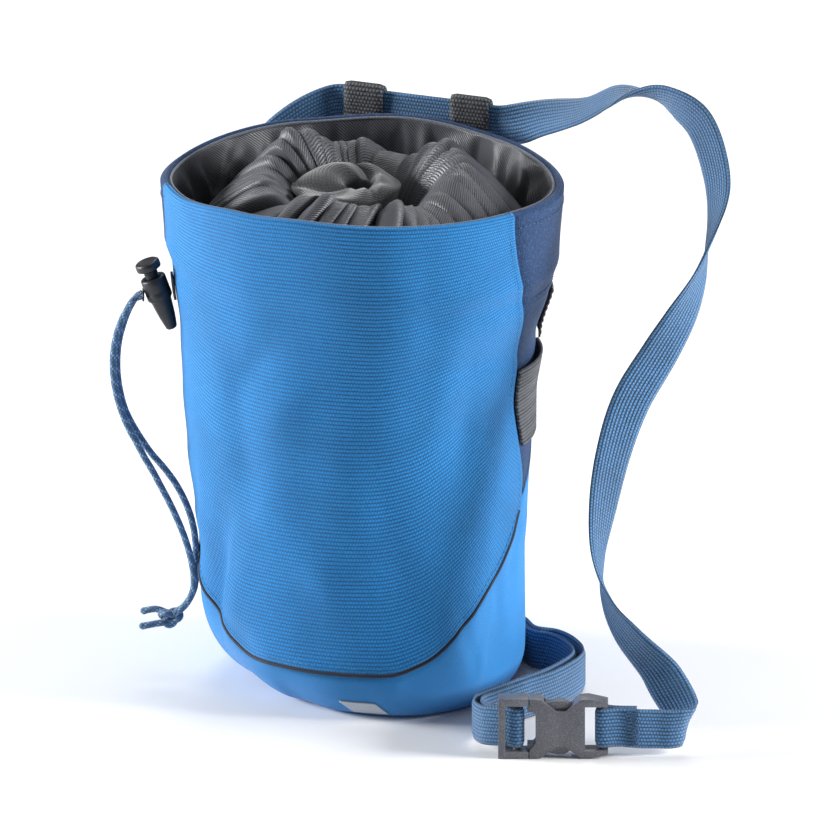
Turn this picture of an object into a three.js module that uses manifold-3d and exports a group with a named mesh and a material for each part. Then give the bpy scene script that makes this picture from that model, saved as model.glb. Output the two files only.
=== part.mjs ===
// A chalk bag on its waist belt, standing on its flat base: millimetres, +Z up, the front panel faces -Y.
// The origin is the centre of the base, on the surface that the bag and its belt stand on.
import * as THREE from "three";
import { mergeVertices } from "three/addons/utils/BufferGeometryUtils.js";
import Module from "manifold-3d";

const wasm = await Module();
wasm.setup();

// Driving sizes of the bag
const BAG_HEIGHT = 196;
const RIM_WIDTH = 148;
const RIM_DEPTH = 123;
const PANEL_WALL = 2;
const YOKE_EXTRA = 0.8;
const YOKE_HEIGHT = 42;
const LINING_WALL = 1.2;
const LINING_FOLD = 0.8;
const LINING_GAP = 0.8;
const LINING_DEPTH = 30;
const GAP = 0.3;
const BACK_BASE_HEIGHT = BAG_HEIGHT * 0.5;

// Driving sizes of the gathered neck
const COLLAR_WALL = 1.2;
const COLLAR_PLEATS = 14;
const PLEAT_DEPTH = 1.9;
const COLLAR_DROP = 26;
const MOUTH_RADIUS = 7;
const MOUTH_WALL = 2.4;
const MOUTH_LOBES = 5;

// Driving sizes of the belt, its loops and its buckle
const BELT_WIDTH = 15;
const BELT_THICKNESS = 1.4;
const LOOP_WIDTH = 15;
const LOOP_THICKNESS = 1.2;
const LOOP_SPACING = 41;
const LOOP_TAIL = 14;
const LOOP_SHIFT = -2.5;
const LOOP_RUN_OUT = 6;
const BUCKLE_LENGTH = 40;
const BUCKLE_HEIGHT = 23;
const BUCKLE_THICKNESS = 7;
const BUCKLE_WALL = 2.6;
const BAR_RADIUS = 1.3;
const BUCKLE_TURN = 20;
const BUCKLE_ACROSS = 69.5;
const BUCKLE_FORWARD = 86;

// Driving sizes of the cord lock and its cord
const CORD_DIAMETER = 2.5;
const CORD_SPREAD = 3.3;
const LOCK_LENGTH = 21;
const LOCK_TOP_RADIUS = 4.7;
const LOCK_TIP_RADIUS = 2.1;
const LOCK_BORE_RADIUS = 3;
const PLUNGER_RADIUS = 4.6;
const PLUNGER_HEAD = 3.2;
const PLUNGER_NECK_RADIUS = 2.6;
const PLUNGER_TRAVEL = 3;
const LOCK_LEAN = 20;
const LOCK_STANDOFF = 7.85;
const LOCK_BELOW_RIM = 42;
const LOCK_TOP_HEIGHT = BAG_HEIGHT - LOCK_BELOW_RIM;

// Driving sizes of the brush sleeve, the rear pocket tape and the reflective patch
const SLEEVE_LENGTH = 32;
const SLEEVE_ABOVE_BASE = 31;
const SLEEVE_TOP = BACK_BASE_HEIGHT + SLEEVE_ABOVE_BASE;
const SLEEVE_WALL = 1.5;
const TAPE_BELOW_YOKE = 2;
const TAPE_TOP = BAG_HEIGHT - YOKE_HEIGHT - TAPE_BELOW_YOKE;
const TAPE_LENGTH = 19;
const TAPE_WALL = 1.2;
const PATCH_WIDTH = 16;
const PATCH_HEIGHT = 5;
const PATCH_WALL = 0.8;

// Outline of the bag's sections from base to rim: height as a share of BAG_HEIGHT, half width as a share of
// half RIM_WIDTH, half depth as a share of half RIM_DEPTH, how square the section is (2 is an ellipse), and how
// far its middle shifts sideways as a share of half RIM_WIDTH
const SECTIONS = [
  { height: 0, width: 0.785, depth: 0.83, square: 2.3, shift: 0.008 },
  { height: 0.12, width: 0.785, depth: 0.85, square: 2.3, shift: 0.01 },
  { height: 0.25, width: 0.79, depth: 0.88, square: 2.2, shift: 0.006 },
  { height: 0.33, width: 0.82, depth: 0.9, square: 2.1, shift: -0.005 },
  { height: 0.45, width: 0.85, depth: 0.92, square: 2.05, shift: -0.017 },
  { height: 0.57, width: 0.86, depth: 0.94, square: 2.03, shift: -0.03 },
  { height: 0.68, width: 0.885, depth: 0.955, square: 2, shift: -0.02 },
  { height: 0.8, width: 0.945, depth: 0.97, square: 2, shift: 0 },
  { height: 0.85, width: 0.98, depth: 0.985, square: 2, shift: 0 },
  { height: 1, width: 1, depth: 1, square: 2, shift: 0 },
];

// Upper edge of the base panel, by direction away from the front in degrees: height as a share of
// BACK_BASE_HEIGHT, which it reaches at the back
const BASE_EDGE = [
  { away: 0, height: 0.2 },
  { away: 34, height: 0.205 },
  { away: 50, height: 0.29 },
  { away: 66, height: 0.44 },
  { away: 82, height: 0.59 },
  { away: 92, height: 0.745 },
  { away: 102, height: 0.9 },
  { away: 114, height: 1 },
];

// The upright seams between front and back panel: height as a share of BAG_HEIGHT, and direction away from
// the front in degrees
const SIDE_SEAM = [
  { height: 0.37, away: 92 },
  { height: 0.65, away: 82 },
  { height: 1, away: 70 },
];

// How the rim dips, by direction in degrees: a share of BAG_HEIGHT
const RIM_DIPS = [
  { angle: -180, dip: 0.033 },
  { angle: -150, dip: 0.026 },
  { angle: -115, dip: 0.006 },
  { angle: -90, dip: 0 },
  { angle: -25, dip: 0.002 },
  { angle: 15, dip: 0.014 },
  { angle: 55, dip: 0.008 },
  { angle: 90, dip: 0 },
  { angle: 130, dip: 0.014 },
  { angle: 180, dip: 0.033 },
];

// How the wall turns under to the base, by direction in degrees (-90 is the front, 0 the wearer's right):
// the inward run and the upward run of the curve, as shares of half RIM_DEPTH and of BAG_HEIGHT
const TURN_UNDER = [
  { angle: -180, inward: 0.34, upward: 0.15 },
  { angle: -140, inward: 0.52, upward: 0.2 },
  { angle: -110, inward: 0.36, upward: 0.15 },
  { angle: -80, inward: 0.23, upward: 0.1 },
  { angle: -40, inward: 0.17, upward: 0.07 },
  { angle: 0, inward: 0.14, upward: 0.07 },
  { angle: 90, inward: 0.14, upward: 0.07 },
  { angle: 140, inward: 0.2, upward: 0.09 },
  { angle: 180, inward: 0.34, upward: 0.15 },
];

// Dents and folds of the outer cloth: centre direction in degrees, centre height as a share of BAG_HEIGHT,
// reach round the bag in degrees and up it as a share of BAG_HEIGHT, depth as a share of PANEL_WALL, and slant
const FOLDS = [
  { angle: -139, height: 0.2, round: 7, up: 0.17, depth: 1.5, slant: 60 },
  { angle: -128, height: 0.13, round: 10, up: 0.04, depth: 1.2, slant: -120 },
  { angle: -100, height: 0.8, round: 16, up: 0.2, depth: 0.7, slant: 20 },
  { angle: -60, height: 0.62, round: 14, up: 0.3, depth: -0.6, slant: 10 },
  { angle: -14, height: 0.12, round: 9, up: 0.07, depth: 1.1, slant: -50 },
  { angle: 60, height: 0.35, round: 16, up: 0.16, depth: 1.2, slant: 30 },
  { angle: 125, height: 0.5, round: 16, up: 0.22, depth: 1.3, slant: -20 },
];

const rad = THREE.MathUtils.degToRad;
const clamp = THREE.MathUtils.clamp;
const lerp = THREE.MathUtils.lerp;

// Smooth value of a table's column between its rows
function tableValue(rows, key, column, at) {
  const last = rows.length - 1;
  if (at <= rows[0][key]) return rows[0][column];
  if (at >= rows[last][key]) return rows[last][column];
  const i = rows.findIndex((row) => row[key] > at) - 1;
  const share = (at - rows[i][key]) / (rows[i + 1][key] - rows[i][key]);
  return lerp(rows[i][column], rows[i + 1][column], share * share * (3 - 2 * share));
}

function wrapDegrees(angle) {
  return ((((angle + 180) % 360) + 360) % 360) - 180;
}

// Height of the rim in one direction
function rimHeight(angle) {
  return BAG_HEIGHT * (1 - tableValue(RIM_DIPS, "angle", "dip", wrapDegrees(angle)));
}

// Depth of all folds at one place of the cloth
function foldDepth(angle, height) {
  let depth = 0;
  for (const fold of FOLDS) {
    const up = (height / BAG_HEIGHT - fold.height) / fold.up;
    const round = wrapDegrees(angle - fold.angle - fold.slant * up * fold.up) / fold.round;
    depth += fold.depth * PANEL_WALL * Math.exp(-round * round - up * up);
  }
  return depth;
}

// Point of the bag's surface, moved inward by inset, at a direction in degrees and a height
function bagPoint(angle, height, inset = 0) {
  const share = height / BAG_HEIGHT;
  const halfWidth = (RIM_WIDTH / 2) * tableValue(SECTIONS, "height", "width", share);
  const halfDepth = (RIM_DEPTH / 2) * tableValue(SECTIONS, "height", "depth", share);
  const square = tableValue(SECTIONS, "height", "square", share);
  const c = Math.cos(rad(angle));
  const s = Math.sin(rad(angle));
  const reach =
    1 / ((Math.abs(c) / halfWidth) ** square + (Math.abs(s) / halfDepth) ** square) ** (1 / square);
  const direction = wrapDegrees(angle);
  const inward = (RIM_DEPTH / 2) * tableValue(TURN_UNDER, "angle", "inward", direction);
  const upward = BAG_HEIGHT * tableValue(TURN_UNDER, "angle", "upward", direction);
  const turned = clamp(1 - (height - inset) / (upward - inset), 0, 1);
  const turn = (inward - inset) * (1 - Math.sqrt(1 - turned * turned));
  const radius = reach - turn - inset - foldDepth(angle, height) * (1 - turned);
  const shift = (RIM_WIDTH / 2) * tableValue(SECTIONS, "height", "shift", share);
  return new THREE.Vector3(radius * c + shift, radius * s, height);
}

// Closed mesh from points and triangles, turned so that its faces point out
function closedGeometry(points, faces) {
  let volume = 0;
  const cross = new THREE.Vector3();
  for (let i = 0; i < faces.length; i += 3) {
    const [a, b, c] = [points[faces[i]], points[faces[i + 1]], points[faces[i + 2]]];
    volume += a.dot(cross.crossVectors(b, c));
  }
  const turned = [];
  for (let i = 0; i < faces.length; i += 3) turned.push(faces[i], faces[i + 2], faces[i + 1]);
  const geometry = new THREE.BufferGeometry();
  const values = points.flatMap((p) => [p.x, p.y, p.z]);
  geometry.setAttribute("position", new THREE.Float32BufferAttribute(values, 3));
  geometry.setIndex(volume < 0 ? turned : faces);
  return geometry;
}

// Wall between two grids of points, rows by columns; wrap joins the last column to the first
function wallOfGrids(outer, inner, wrap) {
  const rows = outer.length;
  const columns = outer[0].length;
  const at = (side, r, c) => (side * rows + r) * columns + (c % columns);
  const faces = [];
  const quad = (a, b, c, d) => faces.push(a, b, c, a, c, d);
  const spans = wrap ? columns : columns - 1;
  for (let c = 0; c < spans; c++) {
    for (let r = 0; r < rows - 1; r++) {
      quad(at(0, r, c), at(0, r, c + 1), at(0, r + 1, c + 1), at(0, r + 1, c));
      quad(at(1, r, c), at(1, r + 1, c), at(1, r + 1, c + 1), at(1, r, c + 1));
    }
    quad(at(0, 0, c), at(1, 0, c), at(1, 0, c + 1), at(0, 0, c + 1));
    quad(at(0, rows - 1, c), at(0, rows - 1, c + 1), at(1, rows - 1, c + 1), at(1, rows - 1, c));
  }
  for (let r = 0; r < rows - 1 && !wrap; r++) {
    const c = columns - 1;
    quad(at(0, r, 0), at(0, r + 1, 0), at(1, r + 1, 0), at(1, r, 0));
    quad(at(0, r, c), at(1, r, c), at(1, r + 1, c), at(0, r + 1, c));
  }
  return closedGeometry([...outer.flat(), ...inner.flat()], faces);
}

// Cup with a floor: rings of points from rim to floor, outside and inside, each closed by its middle point
function cupOfRings(outer, inner, outerMiddle, innerMiddle) {
  const rows = outer.length;
  const columns = outer[0].length;
  const at = (side, r, c) => (side * rows + r) * columns + (c % columns);
  const middle = 2 * rows * columns;
  const faces = [];
  const quad = (a, b, c, d) => faces.push(a, b, c, a, c, d);
  for (let c = 0; c < columns; c++) {
    for (let r = 0; r < rows - 1; r++) {
      quad(at(0, r, c), at(0, r + 1, c), at(0, r + 1, c + 1), at(0, r, c + 1));
      quad(at(1, r, c), at(1, r, c + 1), at(1, r + 1, c + 1), at(1, r + 1, c));
    }
    quad(at(0, 0, c), at(0, 0, c + 1), at(1, 0, c + 1), at(1, 0, c));
    faces.push(at(0, rows - 1, c), middle, at(0, rows - 1, c + 1));
    faces.push(at(1, rows - 1, c), at(1, rows - 1, c + 1), middle + 1);
  }
  return closedGeometry([...outer.flat(), ...inner.flat(), outerMiddle, innerMiddle], faces);
}

// Seams as functions of direction and height
function baseEdgeHeight(away) {
  const folded = Math.abs(wrapDegrees(away));
  return BACK_BASE_HEIGHT * tableValue(BASE_EDGE, "away", "height", folded);
}

function sideSeamAway(height) {
  return tableValue(SIDE_SEAM, "height", "away", height / BAG_HEIGHT);
}

const FRONT = -90;
const FRONT_COLUMNS = 24;
const BACK_COLUMNS = 22;
const PANEL_ROWS = 12;
const SEAM_FOOT_AWAY = SIDE_SEAM[0].away;
const SEAM_FOOT_HEIGHT = baseEdgeHeight(SEAM_FOOT_AWAY) + GAP;
const SEAM_CLEARANCE = 0.3;

// One panel of outer cloth above the base edge: place(share, height) gives the direction away from the front
function uprightPanel(columns, place, insetAt) {
  const grid = (depth) => {
    const lines = [];
    for (let r = 0; r <= PANEL_ROWS; r++) {
      const line = [];
      for (let c = 0; c <= columns; c++) {
        const seamHeight = lerp(SEAM_FOOT_HEIGHT, BAG_HEIGHT, r / PANEL_ROWS);
        const away = place(c / columns, seamHeight);
        const low = baseEdgeHeight(place(c / columns, SEAM_FOOT_HEIGHT)) + GAP;
        const height = lerp(low, rimHeight(FRONT + away), r / PANEL_ROWS);
        line.push(bagPoint(FRONT + away, height, depth === 0 ? insetAt(height) : depth));
      }
      lines.push(line);
    }
    return lines;
  };
  return wallOfGrids(grid(0), grid(PANEL_WALL), false);
}

function frontPanel() {
  const half = (height) => sideSeamAway(height) - SEAM_CLEARANCE;
  return uprightPanel(FRONT_COLUMNS, (share, height) => (share * 2 - 1) * half(height), () => 0);
}

// The back panel, thicker in the yoke band below the rim
function backPanel() {
  const yokeInset = (height) => {
    const rise = clamp((height - (BAG_HEIGHT - YOKE_HEIGHT)) / 4, 0, 1);
    return -YOKE_EXTRA * rise;
  };
  return uprightPanel(
    BACK_COLUMNS,
    (share, height) => lerp(sideSeamAway(height), 360 - sideSeamAway(height), share),
    yokeInset,
  );
}

// Directions of the base panel's columns: those of the two upright panels' lower edges
function baseDirections() {
  const directions = [];
  const half = SEAM_FOOT_AWAY - SEAM_CLEARANCE;
  for (let c = 0; c <= FRONT_COLUMNS; c++) directions.push((c / FRONT_COLUMNS) * 2 * half - half);
  for (let c = 0; c <= BACK_COLUMNS; c++) {
    directions.push(lerp(SEAM_FOOT_AWAY, 360 - SEAM_FOOT_AWAY, c / BACK_COLUMNS));
  }
  return directions;
}

// Rings of the lower bag from its upper edge down to the floor ring and one ring inside it
function lowerRings(directions, inset, shares) {
  const rings = shares.map((share) =>
    directions.map((away) => {
      const height = lerp(inset, baseEdgeHeight(away), share);
      return bagPoint(FRONT + away, height, inset);
    }),
  );
  const floorRing = rings[rings.length - 1];
  rings.push(floorRing.map((p) => new THREE.Vector3(p.x * 0.5, p.y * 0.5, p.z)));
  return rings;
}

const BASE_ROWS = [1, 0.72, 0.46, 0.28, 0.15, 0.05, 0];
function basePanel() {
  const directions = baseDirections();
  const outer = lowerRings(directions, 0, BASE_ROWS);
  const inner = lowerRings(directions, PANEL_WALL, BASE_ROWS);
  return cupOfRings(outer, inner, new THREE.Vector3(), new THREE.Vector3(0, 0, PANEL_WALL));
}

const LINING_COLUMNS = 48;
const LINING_BAND_ROWS = 4;
const LINING_OUTSIDE = PANEL_WALL + LINING_GAP;
const LINING_INSIDE = LINING_OUTSIDE + LINING_WALL;

// The lining shows as a band inside the rim, down to the collar's seam
function lining() {
  const grid = (inset) =>
    Array.from({ length: LINING_BAND_ROWS + 1 }, (_, r) => {
      return Array.from({ length: LINING_COLUMNS }, (_, c) => {
        const angle = (c * 360) / LINING_COLUMNS;
        const top = rimHeight(angle) - LINING_FOLD;
        return bagPoint(angle, lerp(BAG_HEIGHT - LINING_DEPTH, top, r / LINING_BAND_ROWS), inset);
      });
    });
  return wallOfGrids(grid(LINING_OUTSIDE), grid(LINING_INSIDE), true);
}

// Gathered collar: a pleated ring of lining cloth from the wall to the mouth. Each row is a ring: its reach as
// a share of the lining's inside, its height as a share of COLLAR_DROP below the rim, and how deep its pleats
// are as a share of PLEAT_DEPTH
const COLLAR_RINGS = [
  { reach: 1, drop: 1, pleat: 0 },
  { reach: 0.9, drop: 0.72, pleat: 0.55 },
  { reach: 0.76, drop: 0.42, pleat: 0.9 },
  { reach: 0.62, drop: 0.22, pleat: 1 },
  { reach: 0.5, drop: 0.19, pleat: 1.1 },
  { reach: 0.4, drop: 0.32, pleat: 1 },
  { reach: 0.3, drop: 0.62, pleat: 0.7 },
  { reach: 0.24, drop: 0.95, pleat: 0.3 },
];
const COLLAR_COLUMNS = 4 * COLLAR_PLEATS;
const COLLAR_SEAT_GAP = 0.4;

function collarPoint(ring, column, lift) {
  const angle = (column * 360) / COLLAR_COLUMNS;
  const height = lerp(BAG_HEIGHT, rimHeight(angle), ring.reach) - COLLAR_DROP * ring.drop;
  const wall = bagPoint(angle, height, LINING_INSIDE + COLLAR_SEAT_GAP);
  const reach = Math.hypot(wall.x, wall.y) * ring.reach;
  const swirl = 20 * (1 - ring.reach);
  const fold = Math.sin((column / COLLAR_COLUMNS) * 2 * Math.PI * COLLAR_PLEATS);
  const swell = Math.sin(rad(3 * angle + 40)) * 0.8 * ring.pleat;
  const z = height + PLEAT_DEPTH * ring.pleat * fold + swell + lift;
  const turn = rad(angle + swirl);
  return new THREE.Vector3(reach * Math.cos(turn), reach * Math.sin(turn), z);
}

function gatheredCollar() {
  const grid = (lift) =>
    COLLAR_RINGS.map((ring) =>
      Array.from({ length: COLLAR_COLUMNS }, (_, column) => {
        const steep = ring.reach < 0.45 ? 0.35 : 1;
        const p = collarPoint(ring, column, lift * steep);
        const inward = ring.reach < 0.45 && lift < 0 ? 1 + COLLAR_WALL / Math.hypot(p.x, p.y) : 1;
        return new THREE.Vector3(p.x * inward, p.y * inward, p.z);
      }),
    );
  return wallOfGrids(grid(0), grid(-COLLAR_WALL), true);
}

// Pouch mouth: soft cloth bunched inside the collar. Each row is a ring: reach in shares of the collar's
// throat, height in shares of COLLAR_DROP below the rim, and how far its lobes stand out
const MOUTH_RINGS = [
  { reach: 0.8, drop: 1.25, lobe: 0 },
  { reach: 0.8, drop: 0.9, lobe: 0.04 },
  { reach: 1, drop: 0.6, lobe: 0.1 },
  { reach: 1.36, drop: 0.36, lobe: 0.16 },
  { reach: 1.42, drop: 0.24, lobe: 0.2 },
  { reach: 1.1, drop: 0.19, lobe: 0.22 },
];
const MOUTH_COLUMNS = 6 * MOUTH_LOBES;
const THROAT_RADIUS = (RIM_DEPTH / 2) * 0.2114;

function pouchMouth() {
  const lobeAt = (column) => Math.sin((column / MOUTH_COLUMNS) * 2 * Math.PI * MOUTH_LOBES + 0.6);
  const place = (reach, drop, lobe, column) => {
    const turn = (column / MOUTH_COLUMNS) * 2 * Math.PI;
    const radius = reach * (1 + lobe * lobeAt(column));
    const z = BAG_HEIGHT - COLLAR_DROP * drop + lobe * 9 * lobeAt(column + 3);
    return new THREE.Vector3(radius * Math.cos(turn), radius * Math.sin(turn), z);
  };
  const columns = Array.from({ length: MOUTH_COLUMNS }, (_, c) => c);
  const outer = MOUTH_RINGS.map((ring) =>
    columns.map((c) => place(THROAT_RADIUS * ring.reach, ring.drop, ring.lobe, c)),
  );
  const inner = MOUTH_RINGS.map((ring, r) => {
    const fall = r === MOUTH_RINGS.length - 1 ? 0.05 : (MOUTH_WALL * 0.4) / COLLAR_DROP;
    const reach = Math.max(MOUTH_RADIUS, THROAT_RADIUS * ring.reach - MOUTH_WALL * (1 + r * 0.35));
    return columns.map((c) => place(reach, ring.drop + fall, ring.lobe * 0.6, c));
  });
  return wallOfGrids(outer, inner, true);
}

// Strap or webbing: a flat section swept through stations of a centre and a direction across the strap
function sweptStrap(stations, width, thickness, stepsPerStation) {
  const centres = new THREE.CatmullRomCurve3(stations.map((s) => s.at), false, "centripetal");
  const across = new THREE.CatmullRomCurve3(stations.map((s) => s.across), false, "catmullrom", 0.5);
  const count = (stations.length - 1) * stepsPerStation;
  const rings = [];
  for (let i = 0; i <= count; i++) {
    const t = i / count;
    const centre = centres.getPoint(t);
    const along = centres.getTangent(t);
    const side = across.getPoint(t);
    side.addScaledVector(along, -side.dot(along)).normalize();
    const up = new THREE.Vector3().crossVectors(along, side);
    const corner = (a, b) =>
      centre.clone().addScaledVector(side, (a * width) / 2).addScaledVector(up, (b * thickness) / 2);
    rings.push([corner(-1, -1), corner(1, -1), corner(1, 1), corner(-1, 1)]);
  }
  const faces = [];
  const quad = (a, b, c, d) => faces.push(a, b, c, a, c, d);
  for (let i = 0; i < count; i++) {
    for (let k = 0; k < 4; k++) {
      const n = (k + 1) % 4;
      quad(4 * i + k, 4 * i + n, 4 * i + 4 + n, 4 * i + 4 + k);
    }
  }
  quad(3, 2, 1, 0);
  quad(4 * count, 4 * count + 1, 4 * count + 2, 4 * count + 3);
  return closedGeometry(rings.flat(), faces);
}

// The buckle's own frame: its middle on the ground, x towards the socket's strap, y away from the viewer
const buckleFrame = new THREE.Matrix4()
  .makeRotationZ(rad(BUCKLE_TURN))
  .multiply(new THREE.Matrix4().makeTranslation(BUCKLE_ACROSS, -BUCKLE_FORWARD, 0));
const fromBuckle = (x, y, z) => new THREE.Vector3(x, y, z).applyMatrix4(buckleFrame);

const STRAP_MIDDLE = BUCKLE_HEIGHT / 2;
const GROUND_CLEARANCE = 0.6;
const GROUND_MIDDLE = BELT_WIDTH / 2 + GROUND_CLEARANCE;
const SOCKET_BAR = BUCKLE_LENGTH / 2 - BAR_RADIUS - 0.5;
const CLIP_BAR = 6.6 - BUCKLE_LENGTH / 2;
const BELT_BEHIND = RIM_DEPTH / 2 + 5;
const BELT_LEVEL = BAG_HEIGHT - 2;
const WRAP_RADIUS = BAR_RADIUS + GAP + BELT_THICKNESS / 2;

// Stations of the strap where it wraps a bar of the buckle, from its back layer to its front layer: side is 1
// where it passes on the bar's left, and -1 on its right
function wrapStations(bar, side) {
  return [-80, -40, 0, 40, 80].map((turn) => {
    const x = bar - side * WRAP_RADIUS * Math.cos(rad(turn));
    const y = -WRAP_RADIUS * Math.sin(rad(turn));
    return { at: fromBuckle(x, y, STRAP_MIDDLE), across: new THREE.Vector3(0, 0, 1) };
  });
}

// A station that follows the bag: shares of half RIM_WIDTH, of half RIM_DEPTH and of BAG_HEIGHT
const station = (x, y, z, ax, ay, az) => ({
  at: new THREE.Vector3((x * RIM_WIDTH) / 2, (y * RIM_DEPTH) / 2, z * BAG_HEIGHT),
  across: new THREE.Vector3(ax, ay, az),
});
// A station on edge: in the buckle's frame, beside the bag on the ground, or at the belt loops
const upright = (x, y, z) => ({ at: fromBuckle(x, y, z), across: new THREE.Vector3(0, 0, 1) });
const ground = (x, y) => station(x, y, GROUND_MIDDLE / BAG_HEIGHT, 0, 0, 1);
const atLoops = (x) => ({
  at: new THREE.Vector3(x, BELT_BEHIND, BELT_LEVEL),
  across: new THREE.Vector3(0, 0, -1),
});

// The route of the belt from the socket's sewn end to the free tail, chosen by hand: middle and direction across
const BELT_ROUTE = [
  upright(30.5, 0.9, STRAP_MIDDLE),
  upright(24, 1.2, STRAP_MIDDLE),
  ...wrapStations(SOCKET_BAR, 1),
  upright(24, -1.2, STRAP_MIDDLE),
  upright(31, -1, STRAP_MIDDLE - 0.6),
  upright(38, 1.4, STRAP_MIDDLE - 2),
  upright(43, 7, GROUND_MIDDLE + 1),
  station(1.76, -0.43, 0.048, 0.15, 0.2, 0.95),
  station(1.765, -0.38, 0.066, 0.5, 0.2, 0.8),
  station(1.73, -0.4, 0.096, 0.84, 0.05, 0.54),
  station(1.676, -0.418, 0.133, 0.88, 0, 0.47),
  station(1.524, -0.457, 0.201, 0.76, -0.4, 0.51),
  station(1.427, -0.473, 0.263, 0.52, -0.75, 0.4),
  station(1.376, -0.452, 0.342, 0.02, -0.91, 0.42),
  station(1.378, -0.382, 0.442, -0.4, -0.82, 0.41),
  station(1.411, -0.299, 0.544, -0.64, -0.69, 0.34),
  station(1.47, -0.203, 0.632, -0.76, -0.52, 0.39),
  station(1.568, -0.057, 0.711, -0.66, -0.53, 0.54),
  station(1.653, 0.033, 0.778, -0.46, -0.72, 0.52),
  station(1.718, 0.094, 0.841, -0.09, -0.88, 0.47),
  station(1.755, 0.146, 0.9, 0.32, -0.87, 0.39),
  station(1.772, 0.291, 0.987, 0.75, -0.56, 0.36),
  station(1.739, 0.364, 1.042, 0.84, -0.4, 0.35),
  station(1.619, 0.485, 1.111, 0.74, -0.3, 0.6),
  station(1.441, 0.597, 1.133, 0.55, -0.54, 0.63),
  station(1.243, 0.722, 1.126, 0.32, -0.88, 0.35),
  station(1.065, 0.811, 1.102, 0.32, -0.94, -0.1),
  station(0.857, 0.927, 1.052, 0.22, -0.93, -0.3),
  station(0.645, 1.024, 1.02, 0.25, -0.7, -0.66),
  atLoops(LOOP_SHIFT + LOOP_SPACING / 2 + LOOP_WIDTH / 2 + LOOP_RUN_OUT),
  atLoops(LOOP_SHIFT + LOOP_SPACING / 2),
  atLoops(LOOP_SHIFT),
  atLoops(LOOP_SHIFT - LOOP_SPACING / 2),
  atLoops(LOOP_SHIFT - LOOP_SPACING / 2 - LOOP_WIDTH / 2 - 4),
  station(-0.622, 0.943, 0.962, 0.45, 0.2, -0.85),
  station(-0.743, 0.837, 0.908, 0.85, 0.4, -0.4),
  station(-0.77, 0.813, 0.816, 0.8, 0.6, 0),
  station(-0.703, 0.878, 0.663, 0.78, 0.62, 0.05),
  station(-0.622, 0.935, 0.51, 0.8, 0.6, 0.1),
  station(-0.554, 0.984, 0.332, 0.82, 0.55, 0.12),
  station(-0.5, 1.024, 0.173, 0.85, 0.3, 0.4),
  station(-0.338, 1.081, 0.066, 0.5, 0.05, 0.87),
  ground(-0.13, 1.09),
  ground(0.2, 0.99),
  ground(0.49, 0.82),
  ground(0.676, 0.61),
  upright(-6, 95.5, GROUND_MIDDLE),
  upright(1.5, 92, GROUND_MIDDLE),
  upright(8, 83, GROUND_MIDDLE),
  upright(11, 69, GROUND_MIDDLE),
  upright(1.5, 50, GROUND_MIDDLE),
  upright(-9.5, 38.4, GROUND_MIDDLE),
  upright(-21, 25.6, GROUND_MIDDLE + 0.4),
  upright(-25.2, 19, GROUND_MIDDLE + 1),
  upright(-26, 13, GROUND_MIDDLE + 1.8),
  upright(-24.2, 6.5, STRAP_MIDDLE - 1),
  upright(-20, 3.4, STRAP_MIDDLE - 0.2),
  ...wrapStations(CLIP_BAR, -1),
  upright(-17.2, -0.2, STRAP_MIDDLE),
  upright(-20, 0.6, STRAP_MIDDLE - 0.2),
  upright(-25.4, 4.2, STRAP_MIDDLE - 1),
  upright(-28.6, 11.5, GROUND_MIDDLE + 1.8),
  upright(-28, 20, GROUND_MIDDLE + 1),
  upright(-23.5, 27.6, GROUND_MIDDLE + 0.4),
  upright(-12, 40.6, GROUND_MIDDLE),
  upright(-1.4, 52.2, GROUND_MIDDLE),
  upright(7.4, 69.6, GROUND_MIDDLE),
  upright(4.6, 81, GROUND_MIDDLE),
  upright(-1, 88.6, GROUND_MIDDLE),
  upright(-7.4, 92.4, GROUND_MIDDLE),
  ground(0.645, 0.575),
  ground(0.46, 0.78),
  ground(0.18, 0.945),
];
const BELT_STEPS = 2;

function belt() {
  return sweptStrap(BELT_ROUTE, BELT_WIDTH, BELT_THICKNESS, BELT_STEPS);
}

// Belt loop: a webbing strip sewn to the yoke that runs up before the belt, over it and back down behind it
const LOOP_CLEARANCE = 0.6;
function beltLoop(x) {
  const layer = LOOP_THICKNESS / 2;
  const front = BELT_BEHIND - BELT_THICKNESS / 2 - LOOP_CLEARANCE - layer;
  const back = BELT_BEHIND + BELT_THICKNESS / 2 + 2 * LOOP_CLEARANCE + layer;
  const top = BELT_LEVEL + BELT_WIDTH / 2 + LOOP_CLEARANCE + 0.4 + layer;
  const foot = BELT_LEVEL - BELT_WIDTH / 2 - 2 * LOOP_CLEARANCE - layer;
  const angle = THREE.MathUtils.radToDeg(Math.atan2(BELT_BEHIND, Math.abs(x) - LOOP_WIDTH / 2));
  const skin = bagPoint(angle, BAG_HEIGHT - 6, -YOKE_EXTRA).y + GAP + layer;
  const path = [
    [skin, foot - LOOP_TAIL],
    [skin, foot - 3],
    [lerp(skin, front, 0.6), foot + 5],
    [front, BELT_LEVEL],
    [front, top - 2],
    [BELT_BEHIND, top],
    [back, top - 2],
    [back, BELT_LEVEL],
    [back, foot + 1.6],
    [BELT_BEHIND, foot - 1.8],
    [skin + 2.2, foot - 5.6],
    [skin + 1.9, foot - LOOP_TAIL],
  ];
  const stations = path.map(([y, z]) => ({
    at: new THREE.Vector3(x, y, z),
    across: new THREE.Vector3(1, 0, 0),
  }));
  return sweptStrap(stations, LOOP_WIDTH, LOOP_THICKNESS, 2);
}

// Exact solids of a mesh, for joining and cutting
function solidOf(geometry) {
  const plain = geometry.clone();
  plain.deleteAttribute("normal");
  plain.deleteAttribute("uv");
  const merged = mergeVertices(plain, 1e-4);
  return new wasm.Manifold(
    new wasm.Mesh({
      numProp: 3,
      vertProperties: merged.attributes.position.array,
      triVerts: new Uint32Array(merged.index.array),
    }),
  );
}

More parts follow.
